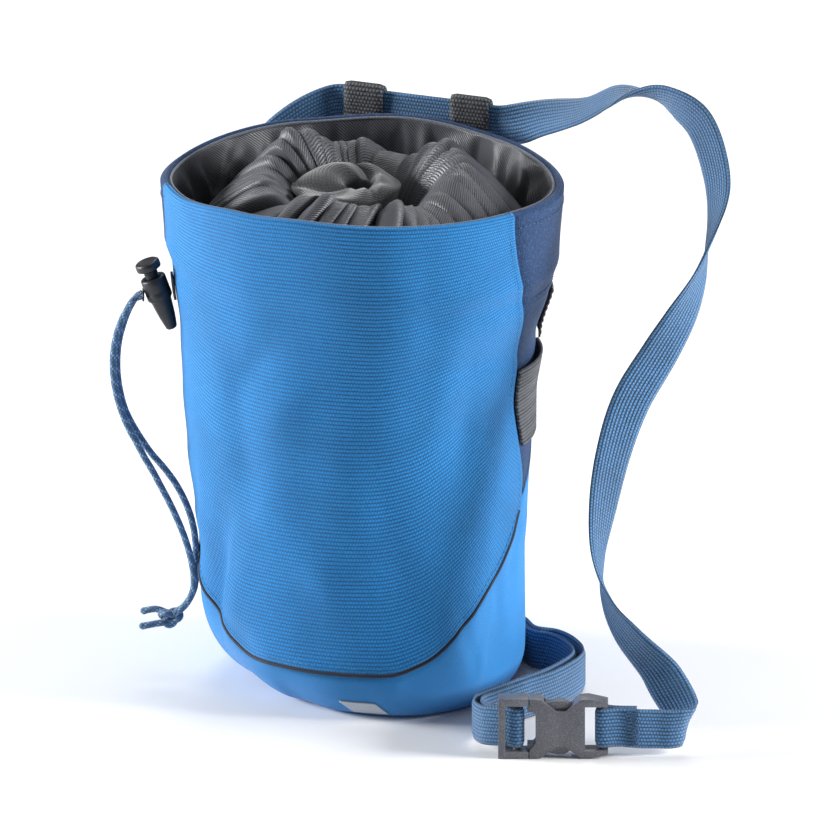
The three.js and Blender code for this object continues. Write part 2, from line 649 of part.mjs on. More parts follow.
function geometryOf(solid) {
  const mesh = solid.getMesh();
  const geometry = new THREE.BufferGeometry();
  geometry.setAttribute("position", new THREE.Float32BufferAttribute(mesh.vertProperties, 3));
  geometry.setIndex(new THREE.BufferAttribute(mesh.triVerts, 1));
  return geometry;
}

function box(x0, x1, y0, y1, z0, z1) {
  const geometry = new THREE.BoxGeometry(x1 - x0, y1 - y0, z1 - z0);
  return solidOf(geometry.translate((x0 + x1) / 2, (y0 + y1) / 2, (z0 + z1) / 2));
}

// Plate cut from an outline in the buckle's x and z, as thick as y0 to y1
function plate(outline, y0, y1) {
  const shape = new THREE.Shape(outline.map(([x, z]) => new THREE.Vector2(x, z)));
  const geometry = new THREE.ExtrudeGeometry(shape, { depth: y1 - y0, bevelEnabled: false });
  return solidOf(geometry.rotateX(Math.PI / 2).translate(0, y1, 0));
}

function bar(x, z0, z1) {
  const geometry = new THREE.CylinderGeometry(BAR_RADIUS, BAR_RADIUS, z1 - z0, 10).rotateX(Math.PI / 2);
  return solidOf(geometry.translate(x, 0, (z0 + z1) / 2));
}

const BUCKLE_HALF = BUCKLE_LENGTH / 2;
const BUCKLE_FACE = BUCKLE_THICKNESS / 2;
const CLIP_EDGE = -8.6;
const PLATE_EDGE = -6.4;
const WAIST = 3.4;

// The socket: a hollow waisted body with a strap bar at its right end
function buckleSocket() {
  const top = BUCKLE_HEIGHT;
  const low = WAIST;
  const high = top - WAIST;
  const body = plate(
    [
      [CLIP_EDGE, 3.2],
      [CLIP_EDGE, 0],
      [-4.5, 0.3],
      [1, 4.6],
      [4.5, 4.6],
      [10, 0.2],
      [13, 0],
      [BUCKLE_HALF, 1.6],
      [BUCKLE_HALF, top - 1.6],
      [13, top],
      [10, top - 0.2],
      [4.5, top - 4.6],
      [1, top - 4.6],
      [-4.5, top - 0.3],
      [CLIP_EDGE, top],
      [CLIP_EDGE, top - 3.2],
      [PLATE_EDGE, top - 6],
      [PLATE_EDGE, 6],
    ],
    -BUCKLE_FACE,
    BUCKLE_FACE,
  );
  const window = box(11.6, BUCKLE_HALF + 1, -9, 9, low - 0.4, high + 0.4);
  const hollow = box(CLIP_EDGE - 1, 9.6, 1.4 - BUCKLE_FACE, BUCKLE_FACE - 1.4, low - 0.6, high + 0.6);
  const mouth = box(CLIP_EDGE - 1, 1, 1.4 - BUCKLE_FACE, BUCKLE_FACE - 1.4, 1.2, top - 1.2);
  const open = body.subtract(window).subtract(hollow).subtract(mouth);
  return geometryOf(open.add(bar(SOCKET_BAR, 1.4, top - 1.4)));
}

// The clip: a frame with a strap bar, and two springy side arms that fill the socket's waist
function buckleClip() {
  const top = BUCKLE_HEIGHT;
  const edge = CLIP_EDGE - GAP;
  const frame = box(-BUCKLE_HALF, edge, -BUCKLE_FACE, BUCKLE_FACE, 0, top);
  const window = box(BUCKLE_WALL - BUCKLE_HALF, edge + 1, -9, 9, WAIST - 0.6, top - WAIST + 0.6);
  const inside = BUCKLE_WALL - BUCKLE_HALF;
  const relief = box(-BUCKLE_HALF - 1, inside + 1, -1.4, 9, WAIST - 0.6, top - WAIST + 0.6);
  const inner = 1.4 + GAP - BUCKLE_FACE;
  const arm = (flip) => {
    const z = (v) => (flip ? top - v : v);
    return plate(
      [
        [edge - 0.5, z(1.8)],
        [-3, z(2.2)],
        [1.4, z(1.2)],
        [4, z(1.2)],
        [8, z(3.6)],
        [8, z(6.6)],
        [3, z(5.6)],
        [edge - 0.5, z(5.6)],
      ],
      inner,
      -inner,
    );
  };
  const clip = frame.subtract(window).subtract(relief).add(arm(false)).add(arm(true));
  return geometryOf(clip.add(bar(CLIP_BAR, 1, top - 1)));
}

// Patch of cloth that lies on the bag's skin between two edges: stand is how far its inner face stands off
function skinPatch(columns, rows, angleAt, low, high, stand, wall) {
  const grid = (inset) => {
    const lines = [];
    for (let r = 0; r <= rows; r++) {
      const height = lerp(low, high, r / rows);
      const line = [];
      for (let c = 0; c <= columns; c++) {
        line.push(bagPoint(angleAt(c / columns, height), height, -inset(c / columns, r / rows)));
      }
      lines.push(line);
    }
    return lines;
  };
  return wallOfGrids(
    grid((c, r) => stand(c, r) + wall),
    grid(stand),
    false,
  );
}

const flatOnSkin = () => GAP;
const SLEEVE_END = 24;
const TAPE_START = 14;
const TAPE_END = 166;

// The elastic brush sleeve bulges a little away from the panel in its middle
function brushSleeve() {
  const bulge = (c, r) => GAP + 1.6 * Math.sin(Math.PI * c) * (0.35 + 0.65 * r);
  const start = (height) => FRONT + sideSeamAway(height) + 0.5;
  const place = (share, height) => lerp(start(height), SLEEVE_END, share);
  return skinPatch(10, 5, place, SLEEVE_TOP - SLEEVE_LENGTH, SLEEVE_TOP, bulge, SLEEVE_WALL);
}

function rearTape() {
  const place = (share) => lerp(TAPE_START, TAPE_END, share);
  return skinPatch(22, 2, place, TAPE_TOP - TAPE_LENGTH, TAPE_TOP, flatOnSkin, TAPE_WALL);
}

const PATCH_ANGLE = -67;
const PATCH_FOOT = 2.5;

function reflectivePatch() {
  const half = THREE.MathUtils.radToDeg(PATCH_WIDTH / RIM_DEPTH);
  const place = (share, height) => {
    const slant = (height - PATCH_FOOT) * -1.2;
    return PATCH_ANGLE + slant + lerp(-half, half, share);
  };
  return skinPatch(5, 3, place, PATCH_FOOT, PATCH_FOOT + PATCH_HEIGHT, flatOnSkin, PATCH_WALL);
}

// The upright plane that the cord hangs in: reach from the bag's axis, height, and side out of the plane
const CORD_PLANE = -160;
const inCordPlane = (reach, height, side = 0) => {
  const c = Math.cos(rad(CORD_PLANE));
  const s = Math.sin(rad(CORD_PLANE));
  return new THREE.Vector3(reach * c - side * s, reach * s + side * c, height);
};

const EYELET_HALF_ANGLE = 2.6;
const EYELET_LENGTH = 9;
const EYELET_HIGH = LOCK_TOP_HEIGHT + 1;
const EYELET_LOW = EYELET_HIGH - EYELET_LENGTH;
const EYELET_WALL = 1;

function cordEyelet() {
  const place = (share) => CORD_PLANE + lerp(-EYELET_HALF_ANGLE, EYELET_HALF_ANGLE, share);
  return skinPatch(2, 3, place, EYELET_LOW, EYELET_HIGH, flatOnSkin, EYELET_WALL);
}

// The lock hangs a standoff away from the wall
const lockWall = bagPoint(CORD_PLANE, LOCK_TOP_HEIGHT);
const LOCK_REACH = Math.hypot(lockWall.x, lockWall.y) + LOCK_STANDOFF;

// The cord lock's frame: origin at the barrel's tip, +Z towards the plunger's head
function lockFrame() {
  const lean = rad(LOCK_LEAN);
  const tip = inCordPlane(
    LOCK_REACH - LOCK_LENGTH * Math.sin(lean),
    LOCK_TOP_HEIGHT - LOCK_LENGTH * Math.cos(lean),
  );
  const frame = new THREE.Group();
  frame.position.copy(tip);
  frame.rotation.order = "ZYX";
  frame.rotation.set(0, lean, rad(CORD_PLANE));
  return frame;
}

const LOCK_SIDES = 14;
const LOCK_BORE_DEPTH = 9;
const LOCK_SHOULDER = 8;

function lockBarrel() {
  const profile = [
    [0, 0],
    [LOCK_TIP_RADIUS - 0.5, 0],
    [LOCK_TIP_RADIUS, 0.6],
    [LOCK_TIP_RADIUS + 0.8, 5],
    [LOCK_TOP_RADIUS - 0.9, LOCK_LENGTH - LOCK_SHOULDER - 1.5],
    [LOCK_TOP_RADIUS, LOCK_LENGTH - LOCK_SHOULDER],
    [LOCK_TOP_RADIUS, LOCK_LENGTH - 0.5],
    [LOCK_TOP_RADIUS - 0.5, LOCK_LENGTH],
    [LOCK_BORE_RADIUS, LOCK_LENGTH],
    [LOCK_BORE_RADIUS, LOCK_LENGTH - LOCK_BORE_DEPTH],
    [0, LOCK_LENGTH - LOCK_BORE_DEPTH],
  ].map(([r, z]) => new THREE.Vector2(r, z));
  return new THREE.LatheGeometry(profile, LOCK_SIDES).rotateX(Math.PI / 2).rotateZ(Math.PI);
}

function lockPlunger() {
  const under = LOCK_LENGTH + PLUNGER_TRAVEL + GAP;
  const foot = LOCK_LENGTH - LOCK_BORE_DEPTH + PLUNGER_TRAVEL + GAP;
  const profile = [
    [0, foot],
    [PLUNGER_NECK_RADIUS, foot],
    [PLUNGER_NECK_RADIUS, under],
    [PLUNGER_RADIUS - 0.4, under],
    [PLUNGER_RADIUS, under + 0.5],
    [PLUNGER_RADIUS, under + PLUNGER_HEAD - 0.8],
    [PLUNGER_RADIUS - 0.9, under + PLUNGER_HEAD],
    [0, under + PLUNGER_HEAD],
  ].map(([r, z]) => new THREE.Vector2(r, z));
  return new THREE.LatheGeometry(profile, LOCK_SIDES).rotateX(Math.PI / 2).rotateZ(Math.PI);
}

// The two strands of the cord, from the lock's outlet to the knot, in the cord's plane: reach as a share of
// LOCK_REACH and height as a share of LOCK_TOP_HEIGHT
const FRONT_STRAND = [
  { reach: 1.0472, height: 0.9565 },
  { reach: 1.0735, height: 0.9481 },
  { reach: 1.1102, height: 0.9182 },
  { reach: 1.1404, height: 0.8766 },
  { reach: 1.1601, height: 0.8351 },
  { reach: 1.1680, height: 0.7922 },
  { reach: 1.1654, height: 0.7468 },
  { reach: 1.1522, height: 0.7039 },
  { reach: 1.1312, height: 0.6649 },
  { reach: 1.0971, height: 0.6273 },
  { reach: 1.0551, height: 0.5909 },
  { reach: 1.0052, height: 0.5532 },
  { reach: 0.9423, height: 0.5149 },
  { reach: 0.8898, height: 0.4773 },
  { reach: 0.8504, height: 0.4396 },
  { reach: 0.8215, height: 0.4019 },
  { reach: 0.8031, height: 0.3643 },
  { reach: 0.7940, height: 0.3266 },
  { reach: 0.7913, height: 0.2890 },
  { reach: 0.7927, height: 0.2513 },
  { reach: 0.8005, height: 0.2143 },
  { reach: 0.8268, height: 0.1844 },
  { reach: 0.8583, height: 0.1662 },
];
const BACK_STRAND = [
  { reach: 1.0472, height: 0.9565 },
  { reach: 1.0840, height: 0.9494 },
  { reach: 1.1234, height: 0.9195 },
  { reach: 1.1601, height: 0.8779 },
  { reach: 1.1811, height: 0.8338 },
  { reach: 1.1890, height: 0.7909 },
  { reach: 1.1837, height: 0.7455 },
  { reach: 1.1680, height: 0.7013 },
  { reach: 1.1444, height: 0.6623 },
  { reach: 1.1129, height: 0.6234 },
  { reach: 1.0761, height: 0.5883 },
  { reach: 1.0394, height: 0.5519 },
  { reach: 0.9974, height: 0.5149 },
  { reach: 0.9593, height: 0.4773 },
  { reach: 0.9213, height: 0.4396 },
  { reach: 0.8871, height: 0.4019 },
  { reach: 0.8570, height: 0.3643 },
  { reach: 0.8320, height: 0.3266 },
  { reach: 0.8136, height: 0.2890 },
  { reach: 0.8031, height: 0.2513 },
  { reach: 0.8058, height: 0.2182 },
  { reach: 0.8294, height: 0.1896 },
  { reach: 0.8583, height: 0.1714 },
];
const CORD_SIDES = 8;
const CORD_STEPS = 28;
const TAIL_STEPS = 5;

function cordTube(points, steps) {
  const radius = CORD_DIAMETER / 2;
  const shape = new THREE.Shape();
  for (let k = 0; k < CORD_SIDES; k++) {
    const a = (k / CORD_SIDES) * 2 * Math.PI;
    const corner = [radius * Math.cos(a), radius * Math.sin(a)];
    if (k === 0) shape.moveTo(...corner);
    else shape.lineTo(...corner);
  }
  const path = new THREE.CatmullRomCurve3(points, false, "centripetal");
  return new THREE.ExtrudeGeometry(shape, { extrudePath: path, steps });
}

function strand(points, side) {
  return cordTube(
    points.map(({ reach, height }) => inCordPlane(reach * LOCK_REACH, height * LOCK_TOP_HEIGHT, side)),
    CORD_STEPS,
  );
}

// The overhand knot, placed as the strands are, and its two short tails as steps out, up and aside from it
const KNOT_AT = { reach: 0.9134, height: 0.1455 };
const KNOT_SIZE = { along: 5.6, across: 4.4, high: 4.6 };
const TAILS = [
  [
    [0.9, 1.2, -1.2],
    [5.4, 2.4, -2],
    [10.9, 1.2, -2.6],
  ],
  [
    [0.9, -1.4, 1.2],
    [5.9, -2, 1.8],
    [11.4, -3, 2],
  ],
];

function cordKnot() {
  const ball = new THREE.IcosahedronGeometry(1, 1);
  ball.scale(KNOT_SIZE.along, KNOT_SIZE.across, KNOT_SIZE.high);
  ball.rotateZ(rad(CORD_PLANE));
  const reach = KNOT_AT.reach * LOCK_REACH;
  const height = KNOT_AT.height * LOCK_TOP_HEIGHT;
  ball.translate(...inCordPlane(reach, height).toArray());
  let knot = solidOf(ball);
  for (const tail of TAILS) {
    const route = tail.map(([out, up, side]) => inCordPlane(reach + out, height + up, side));
    knot = knot.add(solidOf(cordTube(route, TAIL_STEPS)));
  }
  return geometryOf(knot);
}

// Colours and finishes
const MATERIALS = {
  azure: { color: 0x2d7dc8, roughness: 0.8 },
  denim: { color: 0x23507a, roughness: 0.85 },
  charcoal: { color: 0x4a4d54, roughness: 0.5 },
  fleece: { color: 0x55585f, roughness: 0.9 },
  webbing: { color: 0x2f5f92, roughness: 0.8 },
  elastic: { color: 0x3a3d42, roughness: 0.85 },
  plastic: { color: 0x787880, roughness: 0.55 },
  black: { color: 0x1e2126, roughness: 0.5 },
  silver: { color: 0xb4bcc4, roughness: 0.35 },
};

function piece(name, geometry, finish) {
  const material = new THREE.MeshStandardMaterial({ ...MATERIALS[finish], metalness: 0 });
  const mesh = new THREE.Mesh(geometry, material);
  mesh.name = name;
  return mesh;
}

const bag = new THREE.Group();
bag.add(
  piece("base_panel", basePanel(), "azure"),
  piece("front_panel", frontPanel(), "azure"),
  piece("back_panel", backPanel(), "denim"),
  piece("lining", lining(), "charcoal"),
  piece("gathered_collar", gatheredCollar(), "charcoal"),
  piece("pouch_mouth", pouchMouth(), "fleece"),
  piece("brush_sleeve", brushSleeve(), "elastic"),
  piece("rear_tape", rearTape(), "black"),
  piece("reflective_patch", reflectivePatch(), "silver"),
  piece("cord_eyelet", cordEyelet(), "black"),
  piece("belt_webbing", belt(), "webbing"),
  piece("belt_loop_left", beltLoop(LOOP_SHIFT - LOOP_SPACING / 2), "elastic"),
  piece("belt_loop_right", beltLoop(LOOP_SHIFT + LOOP_SPACING / 2), "elastic"),
);

const buckle = new THREE.Group();
buckle.applyMatrix4(buckleFrame);
buckle.add(
  piece("buckle_socket", buckleSocket(), "plastic"),
  piece("buckle_clip", buckleClip(), "plastic"),
);

const cordLock = lockFrame();
cordLock.add(
  piece("lock_barrel", lockBarrel(), "black"),
  piece("lock_plunger", lockPlunger(), "black"),
);

const model = new THREE.Group();
model.add(
  bag,
  buckle,
  cordLock,
  piece("drawcord_front", strand(FRONT_STRAND, -CORD_SPREAD / 2), "webbing"),
  piece("drawcord_back", strand(BACK_STRAND, CORD_SPREAD / 2), "webbing"),
  piece("cord_knot", cordKnot(), "webbing"),
);
export default model;
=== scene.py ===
"""A chalk bag on its waist belt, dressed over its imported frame: cloth, webbing, cord and stitches."""

import math

import bmesh
import bpy
import numpy as np
from mathutils import Matrix, Vector


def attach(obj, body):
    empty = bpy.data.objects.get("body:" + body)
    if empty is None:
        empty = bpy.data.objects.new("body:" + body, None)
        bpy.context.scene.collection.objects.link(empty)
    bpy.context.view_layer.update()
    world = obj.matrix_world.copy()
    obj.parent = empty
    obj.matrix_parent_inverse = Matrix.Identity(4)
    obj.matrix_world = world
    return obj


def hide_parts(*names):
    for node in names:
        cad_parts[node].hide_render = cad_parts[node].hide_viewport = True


bl_info = {
    "name": "Chalk bag",
    "version": (1, 0, 0),
    "blender": (4, 5, 0),
    "location": "View3D > Sidebar > Chalk bag",
    "description": "Builds the cloth, webbing, cord, stitching and finishes of a standing chalk bag",
    "category": "Mesh",
}

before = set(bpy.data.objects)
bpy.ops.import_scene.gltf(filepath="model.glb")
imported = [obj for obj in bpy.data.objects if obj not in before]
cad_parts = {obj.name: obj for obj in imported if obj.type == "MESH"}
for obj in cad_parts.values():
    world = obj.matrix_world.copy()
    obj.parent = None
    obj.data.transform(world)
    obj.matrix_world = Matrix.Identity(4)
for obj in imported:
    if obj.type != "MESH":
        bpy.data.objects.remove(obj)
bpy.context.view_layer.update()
MM = 0.001
BAG = "bag"
PLUNGER = "plunger"

# Sizes of the bag in millimetres, the same as those of its solids
BAG_HEIGHT = 196.0
RIM_WIDTH = 148.0
RIM_DEPTH = 123.0
PANEL_WALL = 2.0
YOKE_HEIGHT = 42.0
BACK_BASE_HEIGHT = 98.0
FRONT = -90.0
BELT_WIDTH = 15.0
BELT_THICKNESS = 1.4
LOOP_WIDTH = 15.0
LOOP_THICKNESS = 1.2
LOOP_SPACING = 41.0
LOOP_SHIFT = -2.5
BUCKLE_LENGTH = 40.0
BUCKLE_HEIGHT = 23.0
BUCKLE_TURN = 20.0
BUCKLE_ACROSS = 69.5
BUCKLE_FORWARD = 86.0
CORD_DIAMETER = 2.5
CORD_SPREAD = 3.3
CORD_PLANE = -160.0
LOCK_LENGTH = 21.0
LOCK_LEAN = 20.0
LOCK_REACH = 76.2
LOCK_TOP_HEIGHT = 154.0
SLEEVE_LOW, SLEEVE_TOP = 97.0, 129.0
TAPE_LOW, TAPE_TOP = 133.0, 152.0
PATCH_LOW, PATCH_TOP = 2.5, 7.5
PATCH_MIDDLE = -67.0
PATCH_WIDTH = 16.0
EYELET_LOW, EYELET_HIGH = 146.0, 155.0
LINING_HEIGHT = 29.0
HEM_RADIUS = 1.3
STITCH_OFFSET = 2.2

# The view: degrees round and up, pixels, pixels in a millimetre, and the middle in millimetres
VIEW_TURN, VIEW_LIFT = 20.0, 20.0
VIEW_PIXELS = 840
FLOOR_REACH = 3000.0
PIXELS_PER_MM = 2.75
VIEW_ACROSS, VIEW_UP = 21.1, 92.7

# Height as a share of BAG_HEIGHT, half width and half depth as shares of half the rim's, squareness, shift
SECTIONS = np.array(
    [
        (0, 0.785, 0.83, 2.3, 0.008),
        (0.12, 0.785, 0.85, 2.3, 0.01),
        (0.25, 0.79, 0.88, 2.2, 0.006),
        (0.33, 0.82, 0.9, 2.1, -0.005),
        (0.45, 0.85, 0.92, 2.05, -0.017),
        (0.57, 0.86, 0.94, 2.03, -0.03),
        (0.68, 0.885, 0.955, 2, -0.02),
        (0.8, 0.945, 0.97, 2, 0),
        (0.85, 0.98, 0.985, 2, 0),
        (1, 1, 1, 2, 0),
    ]
)
# Direction away from the front, and the base panel's edge there as a share of BACK_BASE_HEIGHT
BASE_EDGE = np.array(
    [(0, 0.2), (34, 0.205), (50, 0.29), (66, 0.44), (82, 0.59), (92, 0.745), (102, 0.9), (114, 1)]
)
# Height as a share of BAG_HEIGHT, and the upright seams' direction away from the front
SIDE_SEAM = np.array([(0.37, 92), (0.65, 82), (1, 70)])
# Direction, and how far the rim dips there as a share of BAG_HEIGHT
RIM_DIPS = np.array(
    [
        (-180, 0.033),
        (-150, 0.026),
        (-115, 0.006),
        (-90, 0),
        (-25, 0.002),
        (15, 0.014),
        (55, 0.008),
        (90, 0),
        (130, 0.014),
        (180, 0.033),
    ]
)
# Direction, and the inward and upward run of the wall's turn to the base as shares of half depth and height
TURN_UNDER = np.array(
    [
        (-180, 0.34, 0.15),
        (-140, 0.52, 0.2),
        (-110, 0.36, 0.15),
        (-80, 0.23, 0.1),
        (-40, 0.17, 0.07),
        (0, 0.14, 0.07),
        (90, 0.14, 0.07),
        (140, 0.2, 0.09),
        (180, 0.34, 0.15),
    ]
)
# Folds of the outer cloth: direction, height share, reach round, reach up, depth in walls, slant
FOLDS = (
    (-139, 0.2, 7, 0.17, 1.5, 60),
    (-128, 0.13, 10, 0.04, 1.2, -120),
    (-100, 0.8, 16, 0.2, 0.7, 20),
    (-60, 0.62, 14, 0.3, -0.6, 10),
    (-14, 0.12, 9, 0.07, 1.1, -50),
    (60, 0.35, 16, 0.16, 1.2, 30),
    (125, 0.5, 16, 0.22, 1.3, -20),
)
# Small creases that only the dressed cloth has, in the same columns
CREASES = (
    (-150, 0.36, 5, 0.1, 0.35, 40),
    (-133, 0.22, 3, 0.09, -0.5, 70),
    (-70, 0.05, 5, 0.03, 0.4, -60),
    (-58, 0.07, 4, 0.03, -0.35, 40),
    (-30, 0.16, 3.5, 0.07, 0.45, -60),
    (-22, 0.1, 3, 0.06, -0.4, 60),
    (-12, 0.2, 3, 0.05, 0.4, -40),
    (0, 0.3, 4, 0.08, 0.5, 35),
    (-88, 0.5, 9, 0.16, 0.3, 15),
    (-48, 0.85, 6, 0.12, 0.35, -18),
    (-118, 0.6, 6, 0.15, 0.35, -14),
    (-30, 0.55, 5, 0.12, 0.4, 12),
    (30, 0.45, 8, 0.05, 0.5, 120),
    (100, 0.62, 9, 0.06, 0.45, 150),
    (160, 0.7, 8, 0.12, 0.5, 30),
    (170, 0.3, 9, 0.1, 0.6, 50),
    (80, 0.16, 10, 0.06, 0.6, -90),
    (-138, 0.24, 6, 0.14, 0.6, 60),
    (-149, 0.3, 6, 0.14, -0.5, 60),
    (-125, 0.24, 7, 0.12, -0.5, 60),
    (-112, 0.68, 7, 0.06, 0.7, 90),
    (-98, 0.62, 9, 0.05, -0.6, 90),
    (-60, 0.4, 8, 0.2, 0.6, -25),
    (-40, 0.66, 7, 0.16, -0.5, 25),
    (-118, 0.4, 8, 0.16, 0.6, 40),
    (-85, 0.28, 10, 0.07, -0.6, -60),
)


def deg(values):
    return np.radians(np.asarray(values, float))


def lerp(a, b, t):
    return a + (b - a) * t


def column_value(table, column, at):
    """Smooth value of a table's column between its rows."""
    keys = table[:, 0]
    values = table[:, column]
    at = np.clip(np.asarray(at, float), keys[0], keys[-1])
    i = np.clip(np.searchsorted(keys, at, side="right") - 1, 0, len(keys) - 2)
    share = (at - keys[i]) / (keys[i + 1] - keys[i])
    return values[i] + (values[i + 1] - values[i]) * share * share * (3 - 2 * share)


def wrap_degrees(angle):
    return (np.asarray(angle, float) + 180.0) % 360.0 - 180.0


def rim_height(angle):
    return BAG_HEIGHT * (1 - column_value(RIM_DIPS, 1, wrap_degrees(angle)))


def base_edge_height(away):
    away = np.abs(wrap_degrees(away))
    around = sum(column_value(BASE_EDGE, 1, np.abs(away + off)) for off in (-8, -4, 0, 4, 8))
    return BACK_BASE_HEIGHT * around / 5


def side_seam_away(height):
    return column_value(SIDE_SEAM, 1, np.asarray(height, float) / BAG_HEIGHT)


def fold_depth(angle, height, creased=True):
    depth = 0.0
    for fold_angle, fold_height, round_, up_, deep, slant in FOLDS + (CREASES if creased else ()):
        up = (height / BAG_HEIGHT - fold_height) / up_
        across = wrap_degrees(angle - fold_angle - slant * up * up_) / round_
        depth = depth + deep * PANEL_WALL * np.exp(-across * across - up * up)
    return depth


def soft_waves(angle, height, seed, size):
    """A slow, seeded undulation of hand-handled cloth, from -1 to 1."""
    rng = np.random.default_rng(seed)
    total = 0.0
    for _ in range(6):
        round_ = rng.integers(2, 9)
        up = rng.uniform(1.0, 4.5) * rng.choice((-1, 1))
        phase = rng.uniform(0, 2 * math.pi)
        total = total + np.sin(round_ * deg(angle) + up * height / size + phase)
    return total / 6


def bag_point(angle, height, inset=0.0, creased=True):
    """Point in millimetres on the bag's surface, moved inward by inset."""
    angle, height, inset = np.broadcast_arrays(
        np.asarray(angle, float), np.asarray(height, float), np.asarray(inset, float)
    )
    share = height / BAG_HEIGHT
    half_width = RIM_WIDTH / 2 * column_value(SECTIONS, 1, share)
    half_depth = RIM_DEPTH / 2 * column_value(SECTIONS, 2, share)
    square = column_value(SECTIONS, 3, share)
    c, s = np.cos(deg(angle)), np.sin(deg(angle))
    reach = ((np.abs(c) / half_width) ** square + (np.abs(s) / half_depth) ** square) ** (-1 / square)
    direction = wrap_degrees(angle)
    inward = RIM_DEPTH / 2 * column_value(TURN_UNDER, 1, direction)
    upward = BAG_HEIGHT * column_value(TURN_UNDER, 2, direction)
    turned = np.clip(1 - (height - inset) / (upward - inset), 0, 1)
    turn = (inward - inset) * (1 - np.sqrt(np.clip(1 - turned * turned, 0, 1)))
    depth = fold_depth(angle, height, creased)
    if creased:
        depth = depth + 0.5 * soft_waves(angle, height, 3, 45.0)
    radius = reach - turn - inset - depth * (1 - turned)
    shift = RIM_WIDTH / 2 * column_value(SECTIONS, 4, share)
    return np.stack([radius * c + shift, radius * s, height], axis=-1)


# Meshes


def mesh_object(name, points_mm, faces, uv=None):
    """A new object at the origin from points in millimetres and faces."""
    mesh = bpy.data.meshes.new(name)
    mesh.from_pydata((np.asarray(points_mm, float).reshape(-1, 3) * MM).tolist(), [], faces)
    if uv is not None:
        layer = mesh.uv_layers.new(name="UVMap")
        corners = np.empty(len(mesh.loops), dtype=np.int64)
        mesh.loops.foreach_get("vertex_index", corners)
        layer.data.foreach_set("uv", np.asarray(uv, float).reshape(-1, 2)[corners].ravel())
    mesh.polygons.foreach_set("use_smooth", [True] * len(mesh.polygons))
    mesh.validate()
    obj = bpy.data.objects.new(name, mesh)
    bpy.context.scene.collection.objects.link(obj)
    return obj


def grid_faces(rows, columns, closed=False, flip=False):
    r, c = np.meshgrid(np.arange(rows - 1), np.arange(columns if closed else columns - 1), indexing="ij")
    n = (c + 1) % columns
    quads = np.stack([r * columns + c, r * columns + n, (r + 1) * columns + n, (r + 1) * columns + c], -1)
    quads = quads.reshape(-1, 4)
    return (quads[:, ::-1] if flip else quads).tolist()


def grid_object(name, grid, closed=False, flip=False):
    rows, columns = grid.shape[:2]
    return mesh_object(name, grid, grid_faces(rows, columns, closed, flip), surface_uv(grid))


def surface_uv(grid):
    """Distances along the rows and up the columns in units of 10 mm."""
    across = np.linalg.norm(np.diff(grid, axis=1), axis=-1)
    up = np.linalg.norm(np.diff(grid, axis=0), axis=-1)
    u = np.concatenate([np.zeros((grid.shape[0], 1)), np.cumsum(across, axis=1)], axis=1)
    v = np.concatenate([np.zeros((1, grid.shape[1])), np.cumsum(up, axis=0)], axis=0)
    middle = u.mean(axis=0)
    return np.stack([np.broadcast_to(middle, u.shape), v.mean(axis=1)[:, None] + 0 * v], axis=-1) / 10


def apply_modifiers(obj):
    """Turn what the modifiers make into the object's own mesh."""
    graph = bpy.context.evaluated_depsgraph_get()
    made = bpy.data.meshes.new_from_object(obj.evaluated_get(graph), depsgraph=graph)
    old = obj.data
    obj.modifiers.clear()
    obj.data = made
    if old.users == 0 and isinstance(old, bpy.types.Mesh):
        bpy.data.meshes.remove(old)


def thicken(obj, thickness):
    wall = obj.modifiers.new("Cloth wall", "SOLIDIFY")
    wall.thickness = thickness * MM
    wall.offset = -1.0
    wall.use_quality_normals = True
    apply_modifiers(obj)
    return obj


def joined(name, objects):
    """Join plain mesh objects into the first, which takes the name."""
    with bpy.context.temp_override(active_object=objects[0], selected_editable_objects=objects):
        bpy.ops.object.join()
    objects[0].name = name
    objects[0].data.name = name
    return objects[0]


def finish_piece(obj, material, body, slot, *nodes):
    """Give a piece its material and its body, and hide the solids it stands for; slot is not used."""
    obj.data.materials.clear()
    obj.data.materials.append(material)
    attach(obj, body)
    if nodes:
        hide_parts(*nodes)


def catmull_centripetal(points, samples):
    """Points along a centripetal Catmull-Rom curve through the given ones, at even parameter steps."""
    points = np.asarray(points, float)
    t = np.linspace(0, len(points) - 1, samples)
    i = np.clip(t.astype(int), 0, len(points) - 2)
    w = (t - i)[:, None]
    padded = np.vstack([2 * points[0] - points[1], points, 2 * points[-1] - points[-2]])
    p0, p1, p2, p3 = padded[i], padded[i + 1], padded[i + 2], padded[i + 3]

    def gap(a, b):
        d = np.sum((a - b) ** 2, axis=1, keepdims=True) ** 0.25
        return np.where(d < 1e-4, 1.0, d)

    d0, d1, d2 = gap(p0, p1), gap(p1, p2), gap(p2, p3)
    t1 = ((p1 - p0) / d0 - (p2 - p0) / (d0 + d1) + (p2 - p1) / d1) * d1
    t2 = ((p2 - p1) / d1 - (p3 - p1) / (d1 + d2) + (p3 - p2) / d2) * d1
    c2 = -3 * p1 + 3 * p2 - 2 * t1 - t2
    c3 = 2 * p1 - 2 * p2 + t1 + t2
    return p1 + t1 * w + c2 * w**2 + c3 * w**3


def catmull_uniform(values, samples):
    values = np.asarray(values, float)
    t = np.linspace(0, len(values) - 1, samples)
    i = np.clip(t.astype(int), 0, len(values) - 2)
    w = (t - i)[:, None]
    padded = np.vstack([2 * values[0] - values[1], values, 2 * values[-1] - values[-2]])
    p0, p1, p2, p3 = padded[i], padded[i + 1], padded[i + 2], padded[i + 3]
    v0, v1 = (p2 - p0) / 2, (p3 - p1) / 2
    return (2 * p1 - 2 * p2 + v0 + v1) * w**3 + (-3 * p1 + 3 * p2 - 2 * v0 - v1) * w**2 + v0 * w + p1


def unit(vectors):
    return vectors / np.maximum(np.linalg.norm(vectors, axis=-1, keepdims=True), 1e-9)


